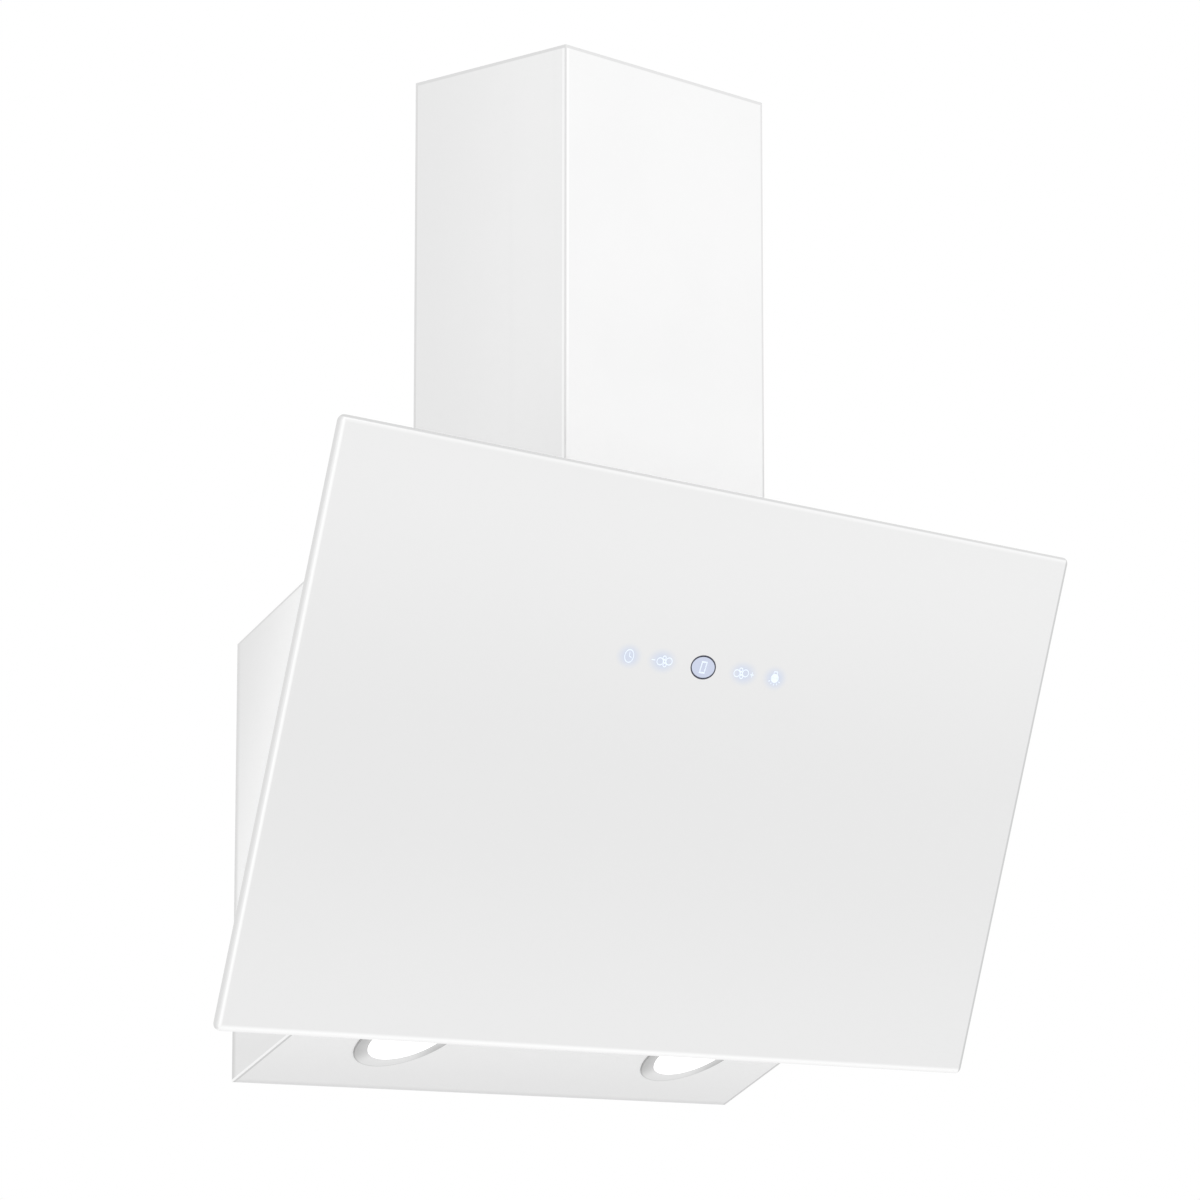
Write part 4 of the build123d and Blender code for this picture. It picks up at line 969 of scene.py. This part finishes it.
def seatsOf(name, facing, headHeight):  # seat, direction, head radius and shank of each fastener
    shape = bmesh.new()
    shape.from_mesh(nodes[name].data)
    bmesh.ops.remove_doubles(shape, verts=shape.verts, dist=1e-6)
    left, seats = set(shape.verts), []
    while left:
        island, reached = [], [left.pop()]
        while reached:
            vert = reached.pop()
            island.append(vert.co.copy())
            for edge in vert.link_edges:
                other = edge.other_vert(vert)
                if other in left:
                    left.remove(other)
                    reached.append(other)
        middle = sum(island, Vector()) / len(island)
        axis = facing(middle).normalized()
        high = max(axis.dot(co) for co in island)
        low = min(axis.dot(co) for co in island)
        seat = middle + axis * (high - headHeight - axis.dot(middle))
        radius = max(((co - middle) - axis * axis.dot(co - middle)).length for co in island)
        seats.append((seat, axis, radius, high - headHeight - low))
    shape.free()
    return sorted(seats, key=lambda seat: tuple(round(part, 4) for part in seat[0]))


def seatMesh(seats):
    mesh = bpy.data.meshes.new("seats")
    mesh.from_pydata([tuple(seat[0]) for seat in seats], [], [])
    mesh.attributes.new("axis", "FLOAT_VECTOR", "POINT").data.foreach_set(
        "vector", [part for seat in seats for part in seat[1]])
    for name, column in (("radius", 2), ("shank", 3)):
        values = [seat[column] for seat in seats]
        mesh.attributes.new(name, "FLOAT", "POINT").data.foreach_set("value", values)
    return mesh


def fastenerRecipe(name, sizes):
    recipe = Recipe(name, sizes)
    size = recipe.size
    ball = recipe.shape("MeshUVSphere", Segments=28, Rings=14, Radius=1.0)
    x, y, z = recipe.split(recipe.shape("InputPosition"))
    across = recipe.larger((x * x + y * y) ** 0.5, 0.0001)
    spread = across ** (size("squareness") - 1)
    height = size("headHeight")
    rise = recipe.larger(z, 0.0) ** size("squareness") * height
    if "holeWidth" in sizes:
        inHole = recipe.math("LESS_THAN", across, size("holeWidth"))
        sunk = inHole * recipe.math("GREATER_THAN", z, 0.0)
        rise = rise * (1 - size("holeDepth") * sunk)
    head = recipe.shape("SetPosition", Geometry=ball, Position=recipe.point(x * spread, y * spread, rise))
    if "recessWidth" in sizes:
        wide, reach = size("recessWidth"), size("recessReach") * 2
        deep = size("recessDepth") * height * 2
        bars = [recipe.shape("MeshCube", Size=recipe.point(reach, wide, deep)),
                recipe.shape("MeshCube", Size=recipe.point(wide, reach, deep * 0.9))]
        cuts = [recipe.lifted(bar, height)[0] for bar in bars]
        head = recipe.shape("MeshBoolean", {"operation": "DIFFERENCE"}, Mesh_1=head, Mesh_2=cuts)
    rod = recipe.shape("MeshCylinder", Vertices=20, Radius=size("shankRadius"), Depth=1.0)
    rod = recipe.moved(rod, (0, 0, -0.5))
    kinds = {"axis": "FLOAT_VECTOR", "radius": "FLOAT", "shank": "FLOAT"}
    axis, radius, shank = (recipe.shape("InputNamedAttribute", {"data_type": kind}, Name=label)
                           for label, kind in kinds.items())
    turn = recipe.out(recipe.node("FunctionNodeAlignRotationToVector", {"axis": "Z"}, Vector=axis))
    seat = size("Geometry")
    heads = recipe.scatter(seat, head, Rotation=turn, Scale=recipe.point(radius, radius, 1.0))
    rods = recipe.scatter(seat, rod, Rotation=turn, Scale=recipe.point(1.0, 1.0, shank))
    recipe.finish(recipe.joined(heads, rods))
    return recipe


def makeFasteners(piece, node, body, facing, headHeight, shankRadius, finish, head):
    sizes = {**head, "headHeight": headHeight, "shankRadius": shankRadius, "finish": finishes[finish]}
    mesh = grownMesh(fastenerRecipe(piece, sizes), seatMesh(seatsOf(node, facing, headHeight)))
    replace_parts(newPiece(piece, mesh, body), node)


def sideways(middle):
    return Vector((math.copysign(1.0, middle.x), 0.0, 0.0))


def blowerSide(middle):  # flange screws point right, motor screws left
    return Vector((1.0 if middle.x > -0.02 else -1.0, 0.0, 0.0))


def bodySide(middle):  # the sloping top's rivets and the hinges'
    return Vector((0.0, shell["topSlope"], 1.0)) if middle.y > -0.2 else outOfPane.copy()


def doorBack(middle):
    return -outOfPane


fasteners = {  # CAD node, body, direction, head height, shank radius, finish and head
    "cover_screws": ("chimney_screws", "hood_body", sideways, 0.0016, 0.002, "screwPaint", screwHead),
    "scroll_screws": ("blower_screws", "hood_body", blowerSide, 0.002, 0.002, "zincSteel", screwHead),
    "sheet_rivets": ("body_rivets", "hood_body", bodySide, 0.0012, 0.0016, "zincSteel", rivetHead),
    "hinge_rivets": ("door_rivets", "glass_door", doorBack, 0.0012, 0.0016, "zincSteel", rivetHead),
}
for name, values in fasteners.items():
    makeFasteners(name, *values)
print("screws and rivets made")


# Grease filters: three layers of expanded aluminium in each frame

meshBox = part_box("filter_mesh_right")
filters = {
    "middle": abs(meshBox[0][0] + meshBox[1][0]) / 2,
    "low": 0.090,  # up the pane
    "high": 0.3821,
    "behind": 0.040,  # behind the pane's face
    "bossLow": 0.3611,  # lower edge of the latch's block
    "trim": 0.001,  # smaller than the frame's opening
}
expandedMesh = {
    "columns": 23,
    "rows": 58,
    "strand": 0.0009,
    "sheet": 0.0004,
    "layerGap": 0.0023,
    "bossHalf": 0.024,
}


def filterRecipe(sizes):
    recipe = Recipe("expandedMesh", sizes)
    size = recipe.size
    columns, rows = size("columns"), size("rows")
    wide, tall = size("width") / columns, size("height") / rows
    diamond = recipe.shape("CurvePrimitiveQuadrilateral", {"mode": "KITE"},
                           Width=wide, Bottom_Height=tall * 0.5, Top_Height=tall * 0.5)
    cell = recipe.bar(diamond, size("strand"), size("sheet"))
    layers = []
    for number, fewer in ((-1, 0), (0, 1), (1, 0)):  # the middle layer lies half a cell over
        across, up = columns - fewer, rows - fewer
        grid = recipe.shape("MeshGrid", Size_X=wide * (across - 1), Size_Y=tall * (up - 1),
                            Vertices_X=across, Vertices_Y=up)
        layers += recipe.lifted(grid, size("layerGap") * number)
    points = recipe.shape("MeshToPoints", Mesh=recipe.joined(*layers))
    x, y = recipe.split(recipe.shape("InputPosition"))[:2]
    inBoss = recipe.math("LESS_THAN", abs(x), size("bossHalf") + wide * 0.5)
    inBoss = inBoss * recipe.math("GREATER_THAN", y, size("bossLow") - tall * 0.5)
    kept = recipe.shape("DeleteGeometry", Geometry=points, Selection=inBoss)
    recipe.finish(recipe.scatter(kept, cell))
    return recipe


def makeFilters():
    middleUp = (filters["low"] + filters["high"]) / 2
    flat = grownMesh(filterRecipe({
        **expandedMesh,
        "width": meshBox[1][0] - meshBox[0][0] - filters["trim"],
        "height": filters["high"] - filters["low"] - filters["trim"],
        "bossLow": filters["bossLow"] - middleUp,
        "finish": finishes["filterAluminium"],
    }))
    for side, sign in (("left", -1), ("right", 1)):
        mesh = flat.copy()
        place = (sign * filters["middle"], middleUp, -filters["behind"])
        mesh.transform(paneFrame @ Matrix.Translation(place))
        piece = newPiece("grease_mesh_" + side, mesh, "hood_body")
        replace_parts(piece, "filter_mesh_" + side)


makeFilters()
print("filter meshes made")


# Blower wheel: two banks of curved blades on a disc

ribCount = 6
wheel = {
    "centre": (0.0, -0.080, 0.262),
    "radius": 0.058,
    "halfLength": 0.072,
    "blades": 40,
    "bladeDepth": 0.0094,
    "bladeSheet": 0.0009,
    "rootInset": 0.0003,  # from the end rings' inner edge
    "tipInset": 0.0012,
    "lean": math.radians(17.0),  # how far a blade's tip runs ahead of its root
    "belly": 0.0022,
    "bellyLead": 0.28,  # of the tip's lead
    "endRing": 0.002,
    "disc": 0.0025,
    "hubRadius": 0.009,
    "hubLow": -0.004,
    "hubHigh": 0.014,
    "bore": 0.00402,
    "ribShare": 0.72,  # length, of the radius
    "ribSheet": 0.0016,
    "ribHeight": 0.006,
}


def wheelRecipe(sizes):
    recipe = Recipe("bladeWheel", sizes)
    size = recipe.size
    outer, inner = size("radius"), size("radius") - size("bladeDepth")
    tip = outer - size("tipInset")
    lead = tip * recipe.math("SINE", size("lean"))
    root = recipe.point(inner + size("rootInset"), 0.0, 0.0)
    belly = recipe.point((inner + tip) * 0.5 + size("belly"), lead * size("bellyLead"), 0.0)
    end = recipe.point(tip * recipe.math("COSINE", size("lean")), lead, 0.0)
    arc = recipe.shape("CurveArc", {"mode": "POINTS"}, Resolution=9, Start=root, Middle=belly, End=end)
    halfDisc = size("disc") * 0.5
    blade = recipe.bar(arc, size("bladeSheet"), size("halfLength") - size("endRing") - halfDisc)
    count = recipe.shape("MeshLine", Count=size("blades"), Offset=(0, 0, 0))
    turn = recipe.point(0.0, 0.0, recipe.shape("InputIndex") * (2 * math.pi) / size("blades"))
    shift = (halfDisc + size("halfLength") - size("endRing")) * 0.5
    banks = recipe.lifted(recipe.scatter(count, blade, Rotation=turn), shift * -1, shift)
    shift = size("halfLength") - size("endRing") * 0.5
    rings = recipe.lifted(recipe.hoop(inner, outer, size("endRing")), shift * -1, shift)
    disc = recipe.hoop(size("hubRadius") * 0.9, outer, size("disc"))
    hub = recipe.hoop(size("bore"), size("hubRadius"), size("hubHigh") - size("hubLow"), 36)
    hub = recipe.lifted(hub, (size("hubLow") + size("hubHigh")) * 0.5)
    ribSize = recipe.point(outer * size("ribShare"), size("ribSheet"), size("ribHeight"))
    web = recipe.shape("MeshCube", Size=ribSize)
    ribs = []
    for i in range(ribCount):
        a = 2 * math.pi * i / ribCount
        x, y = outer * (0.5 * math.cos(a)), outer * (0.5 * math.sin(a))
        ribs.append(recipe.moved(web, recipe.point(x, y, size("ribHeight") * 0.5), (0, 0, a)))
    whole = recipe.joined(*banks, *rings, disc, *hub, *ribs)
    recipe.finish(recipe.moved(whole, size("centre"), (0, math.pi / 2, 0)))
    return recipe


def makeWheel():
    mesh = grownMesh(wheelRecipe({**wheel, "finish": finishes["blowerPlastic"]}))
    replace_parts(newPiece("blower_wheel", mesh, "impeller"), "blower_impeller")


makeWheel()
print("blower wheel made")


# Room: a pale floor under the hood and soft lights

studio = {
    "floorDrop": 1.55,
    "floorSize": 60.0,
    "floor": 0.93,
    "floorGlow": 0.55,  # how far a camera sees the floor as white
    "fill": 0.92,  # light of the surroundings
    "camera": (-2.6804, -2.6073, -0.1640),
    "turn": 47.18,
    "pitch": 8.914,
    "sensor": 36.0,
    "lens": 132.12,
    "lights": {  # place, aim, size and power
        "frontLight": ((1.2, -3.4, 1.8), (0.0, -0.1, 0.45), 2.4, 21.5),
        "leftLight": ((-3.2, -1.0, 0.8), (0.0, -0.1, 0.35), 2.0, 8.0),
        "lowLight": ((-0.9, -2.0, -1.1), (0.0, -0.15, 0.2), 1.2, 1.2),
    },
}


def mixShaders(graph, mask, first, second):
    return graph.node("ShaderNodeMixShader", None, mask, first.outputs[0], second.outputs[0])


def makeFloor():
    half, depth = studio["floorSize"] / 2, -studio["floorDrop"]
    mesh = bpy.data.meshes.new("floor")
    corners = [(x * half, y * half, depth) for x, y in ((-1, -1), (1, -1), (1, 1), (-1, 1))]
    mesh.from_pydata(corners, [], [(0, 1, 2, 3)])
    floor = newObject("floor", mesh)
    material = bpy.data.materials.new("paleFloor")
    graph = clearGraph(material)
    matt = graph.node("ShaderNodeBsdfDiffuse", Color=studio["floor"])
    glow = graph.node("ShaderNodeEmission", Color=1.0, Strength=1.0)
    clear = graph.node("ShaderNodeBsdfTransparent")  # the floor hides nothing from a camera below it
    seen = graph.out(graph.node("ShaderNodeLightPath"), "Is Camera Ray")
    below = seen * graph.out(graph.node("ShaderNodeNewGeometry"), "Backfacing")
    mixed = mixShaders(graph, below, mixShaders(graph, seen * studio["floorGlow"], matt, glow), clear)
    graph.node("ShaderNodeOutputMaterial", Surface=mixed.outputs[0])
    mesh.materials.append(material)


def makeWorld():
    world = bpy.data.worlds.new("paleRoom")
    bpy.context.scene.world = world
    graph = clearGraph(world)
    path = graph.node("ShaderNodeLightPath")
    seen = graph.larger(graph.out(path, "Is Camera Ray"), graph.out(path, "Is Glossy Ray"))
    seen = graph.larger(seen, graph.out(path, "Is Transmission Ray"))
    light = graph.node("ShaderNodeBackground", Color=1.0, Strength=studio["fill"])
    back = graph.node("ShaderNodeBackground", Color=1.0, Strength=1.0)
    graph.node("ShaderNodeOutputWorld", Surface=mixShaders(graph, seen, light, back).outputs[0])


def softLight(name, place, aim, size, power):
    data = bpy.data.lights.new(name, "AREA")
    data.shape = "SQUARE"
    data.size = size
    data.energy = power
    light = newObject(name, data)
    light.location = place
    light.rotation_euler = (Vector(aim) - Vector(place)).to_track_quat("-Z", "Y").to_euler()


def makeCamera():
    data = bpy.data.cameras.new("camera")
    data.sensor_width = studio["sensor"]
    data.lens = studio["lens"]
    data.clip_end = 100.0
    camera = newObject("camera", data)
    camera.location = studio["camera"]
    camera.rotation_euler = (math.radians(90 + studio["pitch"]), 0.0, -math.radians(studio["turn"]))
    bpy.context.scene.camera = camera


makeFloor()
makeWorld()
for name, values in studio["lights"].items():
    softLight(name, *values)
makeCamera()
bpy.context.scene.view_settings.view_transform = "Standard"
print("room, lights and camera made")
